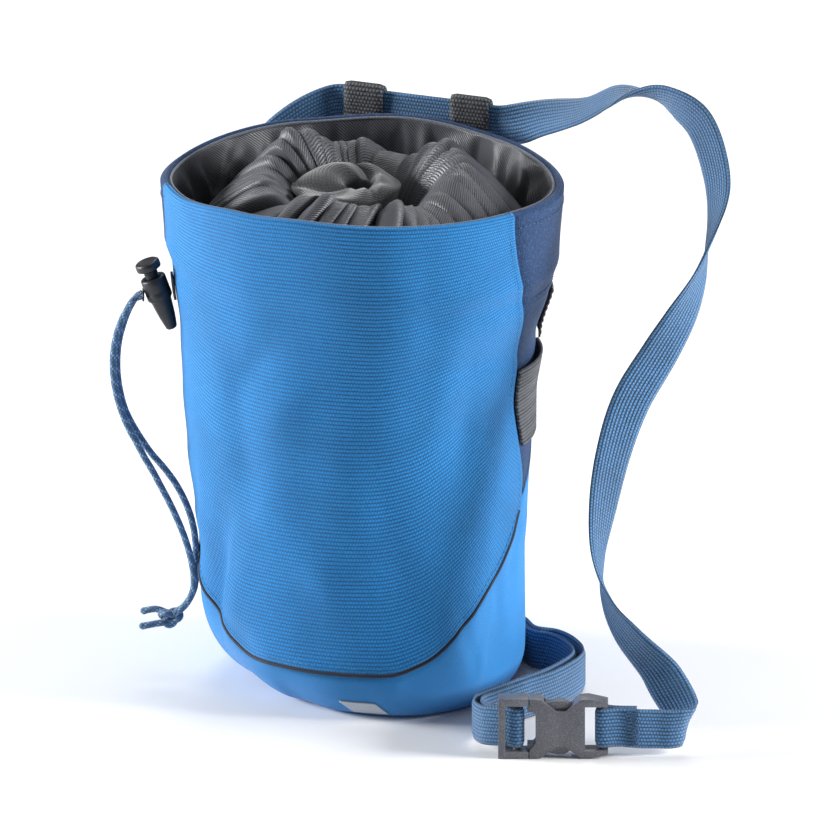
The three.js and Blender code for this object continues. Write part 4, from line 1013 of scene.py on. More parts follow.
BELT_ROUTE = [
    upright(30.5, 0.9, STRAP_MIDDLE),
    upright(24, 1.2, STRAP_MIDDLE),
    *wrap_stations(SOCKET_BAR, 1),
    upright(24, -1.2, STRAP_MIDDLE),
    upright(31, -1, STRAP_MIDDLE - 0.6),
    upright(38, 0.2, STRAP_MIDDLE - 1.2),
    slanted(43, 0.5, STRAP_MIDDLE - 1.4, 0.06),
    slanted(46.8, 1.9, STRAP_MIDDLE - 1.2, 0.18),
    slanted(48.6, 4.6, STRAP_MIDDLE - 0.6, 0.32),
    slanted(48, 8, STRAP_MIDDLE + 1.0, 0.5),
    slanted(45.6, 12, STRAP_MIDDLE + 4.6, 0.68),
    slanted(42.2, 16, STRAP_MIDDLE + 9.2, 0.78),
    station(1.676, -0.418, 0.133, 0.88, 0, 0.47),
    station(1.524, -0.457, 0.201, 0.76, -0.4, 0.51),
    station(1.427, -0.473, 0.263, 0.52, -0.75, 0.4),
    station(1.376, -0.452, 0.342, 0.02, -0.91, 0.42),
    station(1.378, -0.382, 0.442, -0.4, -0.82, 0.41),
    station(1.411, -0.299, 0.544, -0.64, -0.69, 0.34),
    station(1.47, -0.203, 0.632, -0.76, -0.52, 0.39),
    station(1.568, -0.057, 0.711, -0.66, -0.53, 0.54),
    station(1.653, 0.033, 0.778, -0.46, -0.72, 0.52),
    station(1.718, 0.094, 0.841, -0.09, -0.88, 0.47),
    station(1.755, 0.146, 0.9, 0.32, -0.87, 0.39),
    station(1.772, 0.291, 0.987, 0.75, -0.56, 0.36),
    station(1.739, 0.364, 1.042, 0.84, -0.4, 0.35),
    station(1.619, 0.485, 1.111, 0.74, -0.3, 0.6),
    station(1.441, 0.597, 1.133, 0.55, -0.54, 0.63),
    station(1.243, 0.722, 1.126, 0.32, -0.88, 0.35),
    station(1.065, 0.811, 1.102, 0.32, -0.94, -0.1),
    station(0.857, 0.927, 1.052, 0.22, -0.93, -0.3),
    station(0.645, 1.024, 1.02, 0.25, -0.7, -0.66),
    at_loops(LOOP_SHIFT + LOOP_SPACING / 2 + LOOP_WIDTH / 2 + 6),
    at_loops(LOOP_SHIFT + LOOP_SPACING / 2),
    at_loops(LOOP_SHIFT),
    at_loops(LOOP_SHIFT - LOOP_SPACING / 2),
    at_loops(LOOP_SHIFT - LOOP_SPACING / 2 - LOOP_WIDTH / 2 - 4),
    station(-0.622, 0.943, 0.962, 0.45, 0.2, -0.85),
    station(-0.743, 0.837, 0.908, 0.85, 0.4, -0.4),
    station(-0.77, 0.813, 0.816, 0.8, 0.6, 0),
    station(-0.703, 0.878, 0.663, 0.78, 0.62, 0.05),
    station(-0.622, 0.935, 0.51, 0.8, 0.6, 0.1),
    station(-0.554, 0.984, 0.332, 0.82, 0.55, 0.12),
    station(-0.5, 1.024, 0.173, 0.85, 0.3, 0.4),
    station(-0.338, 1.081, 0.066, 0.5, 0.05, 0.87),
    ground(-0.13, 1.09),
    ground(0.2, 0.99),
    ground(0.49, 0.82),
    ground(0.676, 0.61),
    upright(-6, 95.5, GROUND_MIDDLE),
    upright(1.5, 92, GROUND_MIDDLE),
    upright(8, 83, GROUND_MIDDLE),
    upright(11, 69, GROUND_MIDDLE),
    upright(1.5, 50, GROUND_MIDDLE),
    upright(-9.5, 38.4, GROUND_MIDDLE),
    upright(-21, 25.6, GROUND_MIDDLE + 0.4),
    upright(-25.2, 19, GROUND_MIDDLE + 1),
    upright(-26, 13, GROUND_MIDDLE + 1.8),
    upright(-24.2, 6.5, STRAP_MIDDLE - 1),
    upright(-20, 3.4, STRAP_MIDDLE - 0.2),
    *wrap_stations(CLIP_BAR, -1),
    upright(-17.2, -0.2, STRAP_MIDDLE),
    upright(-20, 0.6, STRAP_MIDDLE - 0.2),
    upright(-25.4, 4.2, STRAP_MIDDLE - 1),
    upright(-28.6, 11.5, GROUND_MIDDLE + 1.8),
    upright(-28, 20, GROUND_MIDDLE + 1),
    upright(-23.5, 27.6, GROUND_MIDDLE + 0.4),
    upright(-12, 40.6, GROUND_MIDDLE),
    upright(-1.4, 52.2, GROUND_MIDDLE),
    upright(7.4, 69.6, GROUND_MIDDLE),
    upright(4.6, 81, GROUND_MIDDLE),
    upright(-1, 88.6, GROUND_MIDDLE),
    upright(-7.4, 92.4, GROUND_MIDDLE),
    ground(0.645, 0.575),
    ground(0.46, 0.78),
    ground(0.18, 0.945),
]


def in_cord_plane(reach, height, side=0.0):
    c, s = math.cos(math.radians(CORD_PLANE)), math.sin(math.radians(CORD_PLANE))
    return (reach * c - side * s, reach * s + side * c, height)


# The two strands from the lock's outlet to the knot: reach and height in the cord's plane
FRONT_STRAND = (
    (79.8, 147.3), (81.8, 146), (84.6, 141.4), (86.9, 135),
    (88.4, 128.6), (89, 122), (88.8, 115), (87.8, 108.4),
    (86.2, 102.4), (83.6, 96.6), (80.4, 91), (76.6, 85.2),
    (71.8, 79.3), (67.8, 73.5), (64.8, 67.7), (62.6, 61.9),
    (61.2, 56.1), (60.5, 50.3), (60.3, 44.5), (60.4, 38.7), (61, 33), (63, 28.4), (65.2, 25.6), (68, 23.6),
)
BACK_STRAND = (
    (79.8, 147.3), (82.6, 146.2), (85.6, 141.6), (88.4, 135.2),
    (90, 128.4), (90.6, 121.8), (90.2, 114.8), (89, 108),
    (87.2, 102), (84.8, 96), (82, 90.6), (79.2, 85), (76, 79.3), (73.1, 73.5), (70.2, 67.7), (67.6, 61.9),
    (65.3, 56.1), (63.4, 50.3), (62, 44.5), (61.2, 38.7),
    (61.4, 33.6), (63.2, 29.2), (65.4, 26.4), (68.4, 24.2),
)
KNOT_MIDDLE = in_cord_plane(69.6, 22.4)


def lock_matrix():
    """The cord lock's frame: origin at the barrel's tip, +Z towards the plunger's head."""
    lean = math.radians(LOCK_LEAN)
    tip = in_cord_plane(
        LOCK_REACH - LOCK_LENGTH * math.sin(lean), LOCK_TOP_HEIGHT - LOCK_LENGTH * math.cos(lean)
    )
    turn = Matrix.Rotation(math.radians(CORD_PLANE), 4, "Z") @ Matrix.Rotation(lean, 4, "Y")
    return Matrix.Translation(Vector(tip)) @ turn


# Settings


class ChalkBagSizes(bpy.types.PropertyGroup):
    cloth_wall: bpy.props.FloatProperty(
        name="Cloth wall", description="Thickness of the outer cloth",
        default=1.3 * MM, min=0.0, unit="LENGTH"
    )
    seam_tuck: bpy.props.FloatProperty(
        name="Seam tuck", description="How far one panel goes under the next",
        default=3.0 * MM, min=0.0, unit="LENGTH"
    )
    pleats: bpy.props.IntProperty(
        name="Pleats", description="How many pleats gather the collar", default=35, min=8, max=60
    )
    pleat_height: bpy.props.FloatProperty(
        name="Pleat height", description="How far a pleat stands up", default=3.0 * MM, min=0.0, unit="LENGTH"
    )
    stitch_pitch: bpy.props.FloatProperty(
        name="Stitch pitch", description="Distance from stitch to stitch",
        default=2.4 * MM, min=0.0005, unit="LENGTH"
    )


class ChalkBagColours(bpy.types.PropertyGroup):
    azure: bpy.props.FloatVectorProperty(
        name="Azure", description="Front and base cloth", subtype="COLOR", default=colour(12, 112, 176)
    )
    heather: bpy.props.FloatVectorProperty(
        name="Heather", description="Back cloth", subtype="COLOR", default=colour(24, 54, 92)
    )
    lining: bpy.props.FloatVectorProperty(
        name="Lining", description="Satin lining and collar", subtype="COLOR", default=colour(40, 41, 46)
    )
    belt: bpy.props.FloatVectorProperty(
        name="Belt", description="Waist belt webbing", subtype="COLOR", default=colour(52, 92, 130)
    )


# Pieces


def seam_tucked_grid(columns, rows, away_at, extra):
    """Points of an upright panel: from its lower edge to the rim, and over the rim as a rolled hem."""
    shares = np.linspace(0, 1, columns)
    seam_foot = base_edge_height(SIDE_SEAM[0, 1])
    lines = []
    for t in np.linspace(0, 1, rows):
        seam_height = lerp(seam_foot, BAG_HEIGHT, t)
        away = away_at(shares, seam_height)
        low = base_edge_height(away_at(shares, seam_foot))
        angle = FRONT + away
        height = lerp(low, rim_height(angle) - HEM_RADIUS, t)
        lines.append(bag_point(angle, height, -extra(away, height, shares)))
    angle = FRONT + away_at(shares, BAG_HEIGHT)
    hem = rim_height(angle) - HEM_RADIUS
    for turn in np.linspace(15, 180, 9):
        a = math.radians(turn)
        lines.append(bag_point(angle, hem + HEM_RADIUS * math.sin(a), HEM_RADIUS * (1 - math.cos(a))))
    for drop in (1.5, 4.0, 7.0):
        lines.append(bag_point(angle, hem - drop, 2 * HEM_RADIUS))
    return np.array(lines)


def seam_dip(distance, width, depth):
    """How far cloth sinks near a seam, from its full depth at the seam to nothing at width."""
    return depth * np.clip(1 - distance / width, 0, 1) ** 2


class CHALK_OT_shell(bpy.types.Operator):
    """Outer cloth: ribbed front, heathered back with its yoke, and the base that rises behind"""

    bl_idname = "chalk.shell"
    bl_label = "Outer cloth"

    def execute(self, context):
        sizes = context.scene.chalk_sizes
        wall, tuck = sizes.cloth_wall / MM, sizes.seam_tuck / MM
        tuck_degrees = math.degrees(tuck / (RIM_WIDTH / 2))

        def front_away(shares, height):
            return (shares * 2 - 1) * side_seam_away(height)

        def front_extra(away, height, shares):
            side = (1 - np.abs(shares * 2 - 1)) * 80
            foot = height - base_edge_height(away)
            lip = 0.35 * np.clip(1 - foot / 5, 0, 1) + 0.35 * np.clip(1 - side / 4, 0, 1)
            return lip - seam_dip(np.abs(foot - STITCH_OFFSET), 1.2, 0.35) - seam_dip(np.abs(side - 2.4), 1.2, 0.3)

        front = grid_object("front_cloth", seam_tucked_grid(170, 120, front_away, front_extra))
        thicken(front, wall)
        finish_piece(front, FINISHES["azure_rib"], BAG, "shell_azure", "front_panel")

        def back_away(shares, height):
            seam = side_seam_away(height) - tuck_degrees
            return lerp(seam, 360 - seam, shares)

        def back_extra(away, height, shares):
            side = np.minimum(shares, 1 - shares) * 230
            tucked = 1.15 * np.clip(1 - (side - tuck) / 2.5, 0, 1)
            band = np.clip((height - (BAG_HEIGHT - YOKE_HEIGHT)) / 2.0, 0, 1)
            foot = height - base_edge_height(away)
            lip = 0.35 * np.clip(1 - foot / 5, 0, 1) - seam_dip(np.abs(foot - STITCH_OFFSET), 1.2, 0.35)
            return lip * (side > tuck) + 0.8 * band * (side > tuck + 0.5) - tucked

        back = grid_object("back_cloth", seam_tucked_grid(190, 120, back_away, back_extra))
        thicken(back, wall)
        finish_piece(back, FINISHES["heather"], BAG, "shell_blue", "back_panel")

        columns, rows = 300, 46
        away = np.linspace(0, 360, columns, endpoint=False)
        edge = base_edge_height(away) + tuck
        lines = [
            bag_point(FRONT + away, 0 * edge, 0.0) * (share, share, 1) for share in (0.02, 0.25, 0.5, 0.75, 0.92)
        ]
        lines = [line + (0, 0, 0.4) for line in lines]
        for t in np.linspace(0, 1, rows):
            height = edge * (1 - math.cos(t * math.pi / 2)) if t < 0.999 else edge
            sunk = 1.35 * np.clip(1 - (edge - tuck - height) / 3.5, 0, 1)
            lines.append(bag_point(FRONT + away, height, sunk))
        grid = np.array(lines)
        base = grid_object("base_cloth", grid, closed=True)
        work = bmesh.new()
        work.from_mesh(base.data)
        work.verts.ensure_lookup_table()
        bmesh.ops.contextual_create(work, geom=[work.verts[k] for k in range(columns)])
        bmesh.ops.recalc_face_normals(work, faces=work.faces)
        work.to_mesh(base.data)
        work.free()
        thicken(base, wall)
        finish_piece(base, FINISHES["azure_weave_painted_light"], BAG, "shell_azure", "base_panel")
        return {"FINISHED"}


class CHALK_OT_trim(bpy.types.Operator):
    """Brush sleeve, rear tape, reflective patch and cord eyelet on the outer cloth"""

    bl_idname = "chalk.trim"
    bl_label = "Sewn-on trim"

    def execute(self, context):
        def skin(name, columns, rows, angle_at, low, high, stand, wall):
            s, t = np.meshgrid(np.linspace(0, 1, columns), np.linspace(0, 1, rows))
            height = lerp(low, high, t)
            grid = bag_point(angle_at(s, height), height, -(stand(s, t) + wall))
            return thicken(grid_object(name, grid), wall)

        def sleeve_angle(s, height):
            return lerp(FRONT + side_seam_away(height) + 0.5, 24.0, s)

        def sleeve_stand(s, t):
            rib = 0.22 * np.abs(np.sin(t * 32 / 1.9 * math.pi))
            return 0.5 + 1.6 * np.sin(math.pi * s) * (0.35 + 0.65 * t) + rib

        sleeve = skin(
            "brush_sleeve_elastic", 40, 120, sleeve_angle, SLEEVE_LOW, SLEEVE_TOP, sleeve_stand, 1.0
        )
        finish_piece(sleeve, FINISHES["elastic"], BAG, "elastic", "brush_sleeve")

        def tape_angle(s, height):
            return lerp(14.0, 166.0, s)

        tape = skin("rear_tape_cloth", 150, 14, tape_angle, TAPE_LOW, TAPE_TOP, lambda s, t: 1.0 + 0 * s, 0.8)
        finish_piece(tape, FINISHES["black_tape"], BAG, "black_tape", "rear_tape")

        def patch_angle(s, height):
            half = math.degrees(PATCH_WIDTH / RIM_DEPTH)
            return PATCH_MIDDLE - 1.2 * (height - PATCH_LOW) + lerp(-half, half, s)

        patch = skin(
            "reflective_patch_film", 24, 10, patch_angle, PATCH_LOW, PATCH_TOP, lambda s, t: 0.15 + 0 * s, 0.5
        )
        finish_piece(patch, FINISHES["film"], BAG, "reflective", "reflective_patch")

        def eyelet_angle(s, height):
            return CORD_PLANE + lerp(-2.6, 2.6, s)

        eyelet = skin(
            "cord_eyelet_ring", 12, 16, eyelet_angle, EYELET_LOW, EYELET_HIGH, lambda s, t: 0.3 + 0 * s, 0.9
        )
        finish_piece(eyelet, FINISHES["black"], BAG, "black_plastic", "cord_eyelet")
        return {"FINISHED"}


# Creases of the lining: direction, width, depth and slant in degrees
LINING_CREASES = (
    (8, 3, 1.2, 14),
    (19, 2.5, 1.5, -16),
    (30, 4, 1.3, 22),
    (43, 3, 1.1, -12),
    (52, 2.5, 0.8, 10),
    (74, 5, 0.7, -14),
    (112, 4, 0.6, 10),
    (136, 2.2, 1.0, -8),
    (146, 2.4, 1.1, 8),
    (157, 2.2, 1.2, -10),
    (168, 2.6, 1.1, 12),
    (178, 2.4, 1.2, 8),
)


class CHALK_OT_lining(bpy.types.Operator):
    """Satin lining inside the rim, with its piping"""

    bl_idname = "chalk.lining"
    bl_label = "Lining"

    def execute(self, context):
        columns, rows = 360, 34
        angle = np.linspace(0, 360, columns, endpoint=False)
        lines = []
        for t in np.linspace(0, 1, rows):
            height = lerp(BAG_HEIGHT - LINING_HEIGHT - 1, rim_height(angle) - 1.2, t)
            slack = 1 - abs(t * 2 - 1) ** 2
            wrinkle = (
                1.8 * soft_waves(angle * 3, height, 11, 14.0) + 0.9 * soft_waves(angle * 7, height, 12, 22.0)
            )
            for place, width, depth, slant in LINING_CREASES:
                off = wrap_degrees(angle - place - slant * (t - 0.5)) / width
                wrinkle = wrinkle + depth * np.exp(-off * off)
            seam = 0.0
            for place in (62.0, 96.0, 128.0, -160.0):
                seam = seam + 0.7 * np.exp(-((wrap_degrees(angle - place) / 0.9) ** 2))
            lines.append(
                bag_point(angle, height, 3.0 + np.maximum(slack * (0.6 + 1.7 * wrinkle) - seam * slack, 0))
            )
        grid = np.array(lines)
        lining = grid_object("lining_cloth", grid, closed=True, flip=True)
        thicken(lining, 0.5)
        finish_piece(lining, FINISHES["satin"], BAG, "lining_satin", "lining")
        ring = bag_point(angle, rim_height(angle) - 0.9, 3.05)
        piping = tube_object("rim_piping", ring, 0.55, sides=8, closed=True)
        finish_piece(piping, FINISHES["piping"], BAG, "lining_satin")
        return {"FINISHED"}


# Way in from the wall, reach as a share of the wall's, drop and height of the pleats as shares
COLLAR_PROFILE = np.array(
    [
        (1.0, 1.0, 0.0),
        (0.9, 0.72, 0.55),
        (0.76, 0.42, 0.9),
        (0.62, 0.22, 1.0),
        (0.5, 0.19, 1.15),
        (0.4, 0.32, 1.0),
        (0.3, 0.62, 0.7),
        (0.24, 0.95, 0.3),
    ]
)
COLLAR_DROP = 26.0


class CHALK_OT_collar(bpy.types.Operator):
    """Satin collar gathered from the lining to the mouth in uneven pleats"""

    bl_idname = "chalk.collar"
    bl_label = "Gathered collar"

    def execute(self, context):
        sizes = context.scene.chalk_sizes
        pleat_height = sizes.pleat_height / MM
        columns, rows = 640, 56
        turn = np.linspace(0, 2 * math.pi, columns, endpoint=False)
        profile = catmull_uniform(COLLAR_PROFILE, rows)
        lines = []
        valley_shades = []
        for k in range(rows):
            reach_share, drop, pleat = profile[k]
            inward = 1 - reach_share
            uneven = turn + 0.15 * np.sin(2 * turn + 1.1) + 0.08 * np.sin(5 * turn + 2.3 + 1.2 * inward)
            uneven = uneven + 0.035 * np.sin(9 * turn + 4.0 * inward)
            phase = sizes.pleats * uneven / 2
            crest = np.abs(np.cos(phase))
            fold = 2 * crest**0.85 - 1
            strong = 1.1 + 0.4 * np.sin(3 * turn + 0.4) + 0.4 * np.sin(7 * turn + 2.0 + 2 * inward)
            fine = 0.25 * np.abs(np.sin(2.5 * phase + 3 * inward)) * np.clip(inward * 2, 0, 1)
            bell = math.exp(-(((inward - 0.52) / 0.16) ** 2))
            lean = 0.09 * np.sin(2 * phase + 0.6) * (0.3 + bell) * np.clip(inward * 4, 0, 1)
            swirl = math.radians(20 * inward)
            angle = np.degrees(turn)
            height = lerp(BAG_HEIGHT, rim_height(angle), reach_share) - COLLAR_DROP * drop
            wall = bag_point(angle, height, 4.4, creased=False)
            radius = np.hypot(wall[:, 0], wall[:, 1]) * reach_share
            swell = 1.3 * np.sin(3 * turn + 0.7) * pleat + 1.0 * np.sin(2 * turn + 2.2) * pleat
            swell = (
                swell - 5.0 * np.exp(-((wrap_degrees(angle + 90) / 62) ** 2)) * np.clip(inward * 2.2, 0, 1)
            )
            z = height + pleat_height * pleat * strong * (fold + fine) * (1 + 0.5 * bell) + swell
            out = radius + 1.6 * bell * fold * strong
            way = turn + swirl + lean
            lines.append(np.stack([out * np.cos(way), out * np.sin(way), z], axis=-1))
            # Painted shade: a mask that is high in the pleats' valleys, stored on the mesh so the satin darkens
            # there.
            valley_shades.append(np.clip(0.45 - 0.75 * fold, 0, 1) * min(1.0, 2.5 * pleat))
        grid = np.array(lines)
        collar = grid_object("collar_cloth", grid, closed=True)
        valley_shade = collar.data.attributes.new("Valley shade", "FLOAT", "POINT")
        valley_shade.data.foreach_set("value", np.array(valley_shades, np.float32).ravel())
        thicken(collar, 0.45)
        finish_piece(collar, FINISHES["satin"], BAG, "lining_satin", "gathered_collar")
        return {"FINISHED"}


# Round the mouth's hollow: direction, how far its soft folds reach, and how high they stand
MOUTH_FOLDS = np.array(
    [
        (0, 15.0, 2.6),
        (45, 14.0, 3.0),
        (90, 13.5, 4.2),
        (135, 18.0, 5.0),
        (180, 25.0, 4.4),
        (215, 24.0, 3.4),
        (250, 17.0, 2.4),
        (300, 15.5, 1.8),
        (360, 15.0, 2.6),
    ]
)
MOUTH_MIDDLE = (-1.5, 2.0)


class CHALK_OT_mouth(bpy.types.Operator):
    """Soft knit of the pouch's mouth, bunched in the collar's throat and open in the middle"""

    bl_idname = "chalk.mouth"
    bl_label = "Pouch mouth"

    def execute(self, context):
        columns = 360
        turn = np.linspace(0, 2 * math.pi, columns, endpoint=False)
        around = np.degrees(turn)
        reach = column_value(MOUTH_FOLDS, 1, around)
        stand = column_value(MOUTH_FOLDS, 2, around)
        hollow = 4.6 + 1.2 * np.cos(2 * turn)
        level = BAG_HEIGHT - 8.0 + 0.8 * np.sin(turn + 1.0)
        foot = BAG_HEIGHT - COLLAR_DROP * 1.25
        lines = []

        def ring(out, height, twist=0.0):
            way = turn + twist
            x, y = MOUTH_MIDDLE
            return np.stack([out * np.cos(way) + x, out * np.sin(way) + y, height + 0 * turn], axis=-1)

        for t in np.linspace(0, 1, 16)[:-1]:
            lines.append(ring(lerp(4.2, hollow, t**0.7), lerp(foot + 2, level, t)))
        for t in np.linspace(0, 1, 46):
            phi = math.pi * t
            out = lerp(hollow, reach, (1 - math.cos(phi)) / 2)
            fold = np.sin(2 * turn + 4.6 * t + 0.6) + 0.6 * np.sin(3 * turn - 6.0 * t + 2.0)
            crease = -1.6 * np.exp(-(((wrap_degrees(around - 40 - 95 * t)) / 11) ** 2))
            crease = crease - 1.8 * np.exp(-(((wrap_degrees(around - 235 + 60 * t)) / 10) ** 2))
            crease = crease - 1.3 * np.exp(-(((wrap_degrees(around - 320 + 30 * t)) / 9) ** 2))
            show = math.sin(phi) ** 0.8
            lines.append(ring(out, level + show * (stand + 1.5 * fold + 1.3 * crease), 0.25 * t))
        for t in np.linspace(0, 1, 14)[1:]:
            lines.append(ring(lerp(reach, 11.0, t**0.6), lerp(level, foot, t), 0.25))
        mouth = grid_object("mouth_cloth", np.array(lines), closed=True, flip=True)
        thicken(mouth, 0.6)
        finish_piece(mouth, FINISHES["knit"], BAG, "mouth_fleece", "pouch_mouth")
        return {"FINISHED"}


class CHALK_OT_belt(bpy.types.Operator):
    """Waist belt of woven webbing and the two loops that hold it behind the rim"""

    bl_idname = "chalk.belt"
    bl_label = "Belt and loops"

    def execute(self, context):
        at, across = zip(*BELT_ROUTE)
        belt = webbing_object("belt_strap", at, across, BELT_WIDTH, BELT_THICKNESS, 1000)
        finish_piece(belt, FINISHES["belt"], BAG, "belt_webbing", "belt_webbing")
        for side, name in ((-1, "left"), (1, "right")):
            x = LOOP_SHIFT + side * LOOP_SPACING / 2
            path, skin = loop_path(x)
            route = [(x, y, z) for y, z in path]
            across = [(1, 0, 0)] * len(path)
            loop = webbing_object(f"belt_loop_strap_{name}", route, across, LOOP_WIDTH, LOOP_THICKNESS, 160)
            finish_piece(loop, FINISHES["loop"], BAG, "loop_webbing", f"belt_loop_{name}")
            foot = BELT_LEVEL - BELT_WIDTH / 2 - 1.8
            y = skin + 2.65
            box = [
                (x - 5.4, y, foot - 13), (x + 5.4, y, foot - 13), (x + 5.4, y, foot - 7), (x - 5.4, y, foot - 7)
            ]
            lines = [box + box[:1], [box[0], box[2]], [box[1], box[3]]]
            stitches(f"loop_tack_{name}", lines, "dark_thread", "loop_webbing", pitch=1.7, length=1.3)
        zigzag = [
            from_buckle(26.6 + 4.6 * (k % 2), -2.1 - 0.05 * (k % 2), 4.4 + 14.4 * k / 22) for k in range(23)
        ]
        stitches("belt_tack", [zigzag], "belt_thread", "belt_webbing", pitch=0.8, length=1.1, radius=0.26)
        return {"FINISHED"}


def loop_path(x):
    """Route of a belt loop as places out from the bag and up, and where its inner layer lies."""
    layer, clear = 0.6, 0.6
    front = BELT_BEHIND - BELT_THICKNESS / 2 - clear - layer
    back = BELT_BEHIND + BELT_THICKNESS / 2 + 2 * clear + layer
    top = BELT_LEVEL + BELT_WIDTH / 2 + clear + 0.4 + layer
    foot = BELT_LEVEL - BELT_WIDTH / 2 - 2 * clear - layer
    angle = math.degrees(math.atan2(BELT_BEHIND, abs(x) - LOOP_WIDTH / 2))
    skin = float(bag_point(angle, BAG_HEIGHT - 6, -0.8, creased=False)[1]) + 0.3 + layer
    path = (
        (skin, foot - 14),
        (skin, foot - 3),
        (lerp(skin, front, 0.6), foot + 5),
        (front, BELT_LEVEL),
        (front, top - 2),
        (BELT_BEHIND, top),
        (back, top - 2),
        (back, BELT_LEVEL),
        (back, foot + 1.6),
        (BELT_BEHIND, foot - 1.8),
        (skin + 2.2, foot - 5.6),
        (skin + 1.9, foot - 14),
    )
    return path, skin


def bevelled_copy(node, name, width):
    """A copy of a moulded solid with its edges rounded as a mould leaves them."""
    obj = bpy.data.objects.new(name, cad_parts[node].data.copy())
    obj.data.name = name
    bpy.context.scene.collection.objects.link(obj)
    work = bmesh.new()
    work.from_mesh(obj.data)
    bmesh.ops.remove_doubles(work, verts=work.verts, dist=2e-6)
    bmesh.ops.dissolve_limit(work, angle_limit=math.radians(2), verts=work.verts, edges=work.edges)
    work.to_mesh(obj.data)
    work.free()
    edge = obj.modifiers.new("Moulded edge", "BEVEL")
    edge.width = width * MM
    edge.segments = 3
    edge.limit_method = "ANGLE"
    edge.angle_limit = math.radians(30)
    edge.harden_normals = False
    apply_modifiers(obj)
    obj.data.polygons.foreach_set("use_smooth", [True] * len(obj.data.polygons))
    with bpy.context.temp_override(object=obj, active_object=obj, selected_editable_objects=[obj]):
        bpy.ops.object.shade_smooth_by_angle(angle=math.radians(40))
    return obj


class CHALK_OT_buckle(bpy.types.Operator):
    """Side-release buckle: socket and clip, fastened"""

    bl_idname = "chalk.buckle"
    bl_label = "Buckle"

    def execute(self, context):
        for node, name in (
            ("buckle_socket", "buckle_socket_moulding"), ("buckle_clip", "buckle_clip_moulding")
        ):
            obj = bevelled_copy(node, name, 0.75)
            finish_piece(obj, FINISHES["buckle"], BAG, "buckle_plastic", node)
        return {"FINISHED"}


def lathe_object(name, profile, matrix):
    """A turned shape about its own Z from (radius, height) pairs, placed by matrix (translation in mm)."""
    rows, sides = len(profile), 40
    turn = np.linspace(0, 2 * math.pi, sides, endpoint=False)
    grid = np.array(
        [np.stack([r * np.cos(turn), r * np.sin(turn), z + 0 * turn], axis=-1) for r, z in profile]
    )
    faces = grid_faces(rows, sides, closed=True)
    faces += [list(range(sides))[::-1], [(rows - 1) * sides + k for k in range(sides)]]
    m = np.array(matrix)
    obj = mesh_object(name, grid.reshape(-1, 3) @ m[:3, :3].T + m[:3, 3], faces)
    turn_outwards(obj)
    with bpy.context.temp_override(object=obj, active_object=obj, selected_editable_objects=[obj]):
        bpy.ops.object.shade_smooth_by_angle(angle=math.radians(50))
    return obj


class CHALK_OT_cord_lock(bpy.types.Operator):
    """Cord lock: tapered barrel with its cord outlet, and the sprung plunger"""

    bl_idname = "chalk.cord_lock"
    bl_label = "Cord lock"

    def execute(self, context):
        place = lock_matrix()
        shoulder = LOCK_LENGTH - 8
        barrel = lathe_object(
            "lock_barrel_moulding",
            [
                (1.2, 0.0), (1.7, 0.15), (2.05, 0.6), (2.5, 2.6),
                (2.95, 5.0), (3.4, 8.2), (3.75, shoulder - 1.7),
                (3.95, shoulder - 1.1), (4.55, shoulder - 0.3), (4.7, shoulder + 0.1), (4.7, shoulder + 2.4),
                (4.58, shoulder + 2.6), (4.58, shoulder + 2.9),
                (4.7, shoulder + 3.1), (4.7, LOCK_LENGTH - 0.6),
                (4.5, LOCK_LENGTH - 0.15), (4.1, LOCK_LENGTH), (3.15, LOCK_LENGTH), (3.0, LOCK_LENGTH - 0.25),
                (3.0, LOCK_LENGTH - 9), (0.4, LOCK_LENGTH - 9),
            ],
            place,
        )
        finish_piece(barrel, FINISHES["black"], BAG, "black_plastic", "lock_barrel")
        under, foot = LOCK_LENGTH + 3.3, LOCK_LENGTH - 5.7
        neck = [(0.4, foot), (2.4, foot), (2.6, foot + 0.3)]
        for k in range(4):
            z = LOCK_LENGTH + 0.35 + k * 0.72
            neck += [(2.6, z), (2.32, z + 0.16), (2.32, z + 0.4), (2.6, z + 0.56)]
        head = [
            (2.6, under), (4.0, under), (4.45, under + 0.2), (4.6, under + 0.6), (4.6, under + 2.2),
            (4.4, under + 2.75), (3.9, under + 3.1), (2.9, under + 3.2),
            (2.6, under + 3.05), (0.4, under + 3.0),
        ]
        plunger = lathe_object("lock_plunger_moulding", neck + head, place)
        finish_piece(plunger, FINISHES["black"], PLUNGER, "black_plastic", "lock_plunger")
        rings = []
        for side in (-1, 1):
            middle = np.array(in_cord_plane(80.0, 147.2, side * CORD_SPREAD / 2))
            out = unit(np.array(in_cord_plane(1.0, 0.0)))
            up = np.array((0.0, 0.0, 1.0))
            across = np.cross(out, up)
            turn = np.linspace(0, 2 * math.pi, 24, endpoint=False)[:, None]
            loop = middle - out * 0.5 + 1.62 * (np.cos(turn) * across + np.sin(turn) * up)
            rings.append(tube_object(f"outlet_{side}", loop, 0.42, sides=8, closed=True))
        outlet = joined("lock_outlet_rings", rings)
        finish_piece(outlet, FINISHES["black"], BAG, "black_plastic")
        return {"FINISHED"}


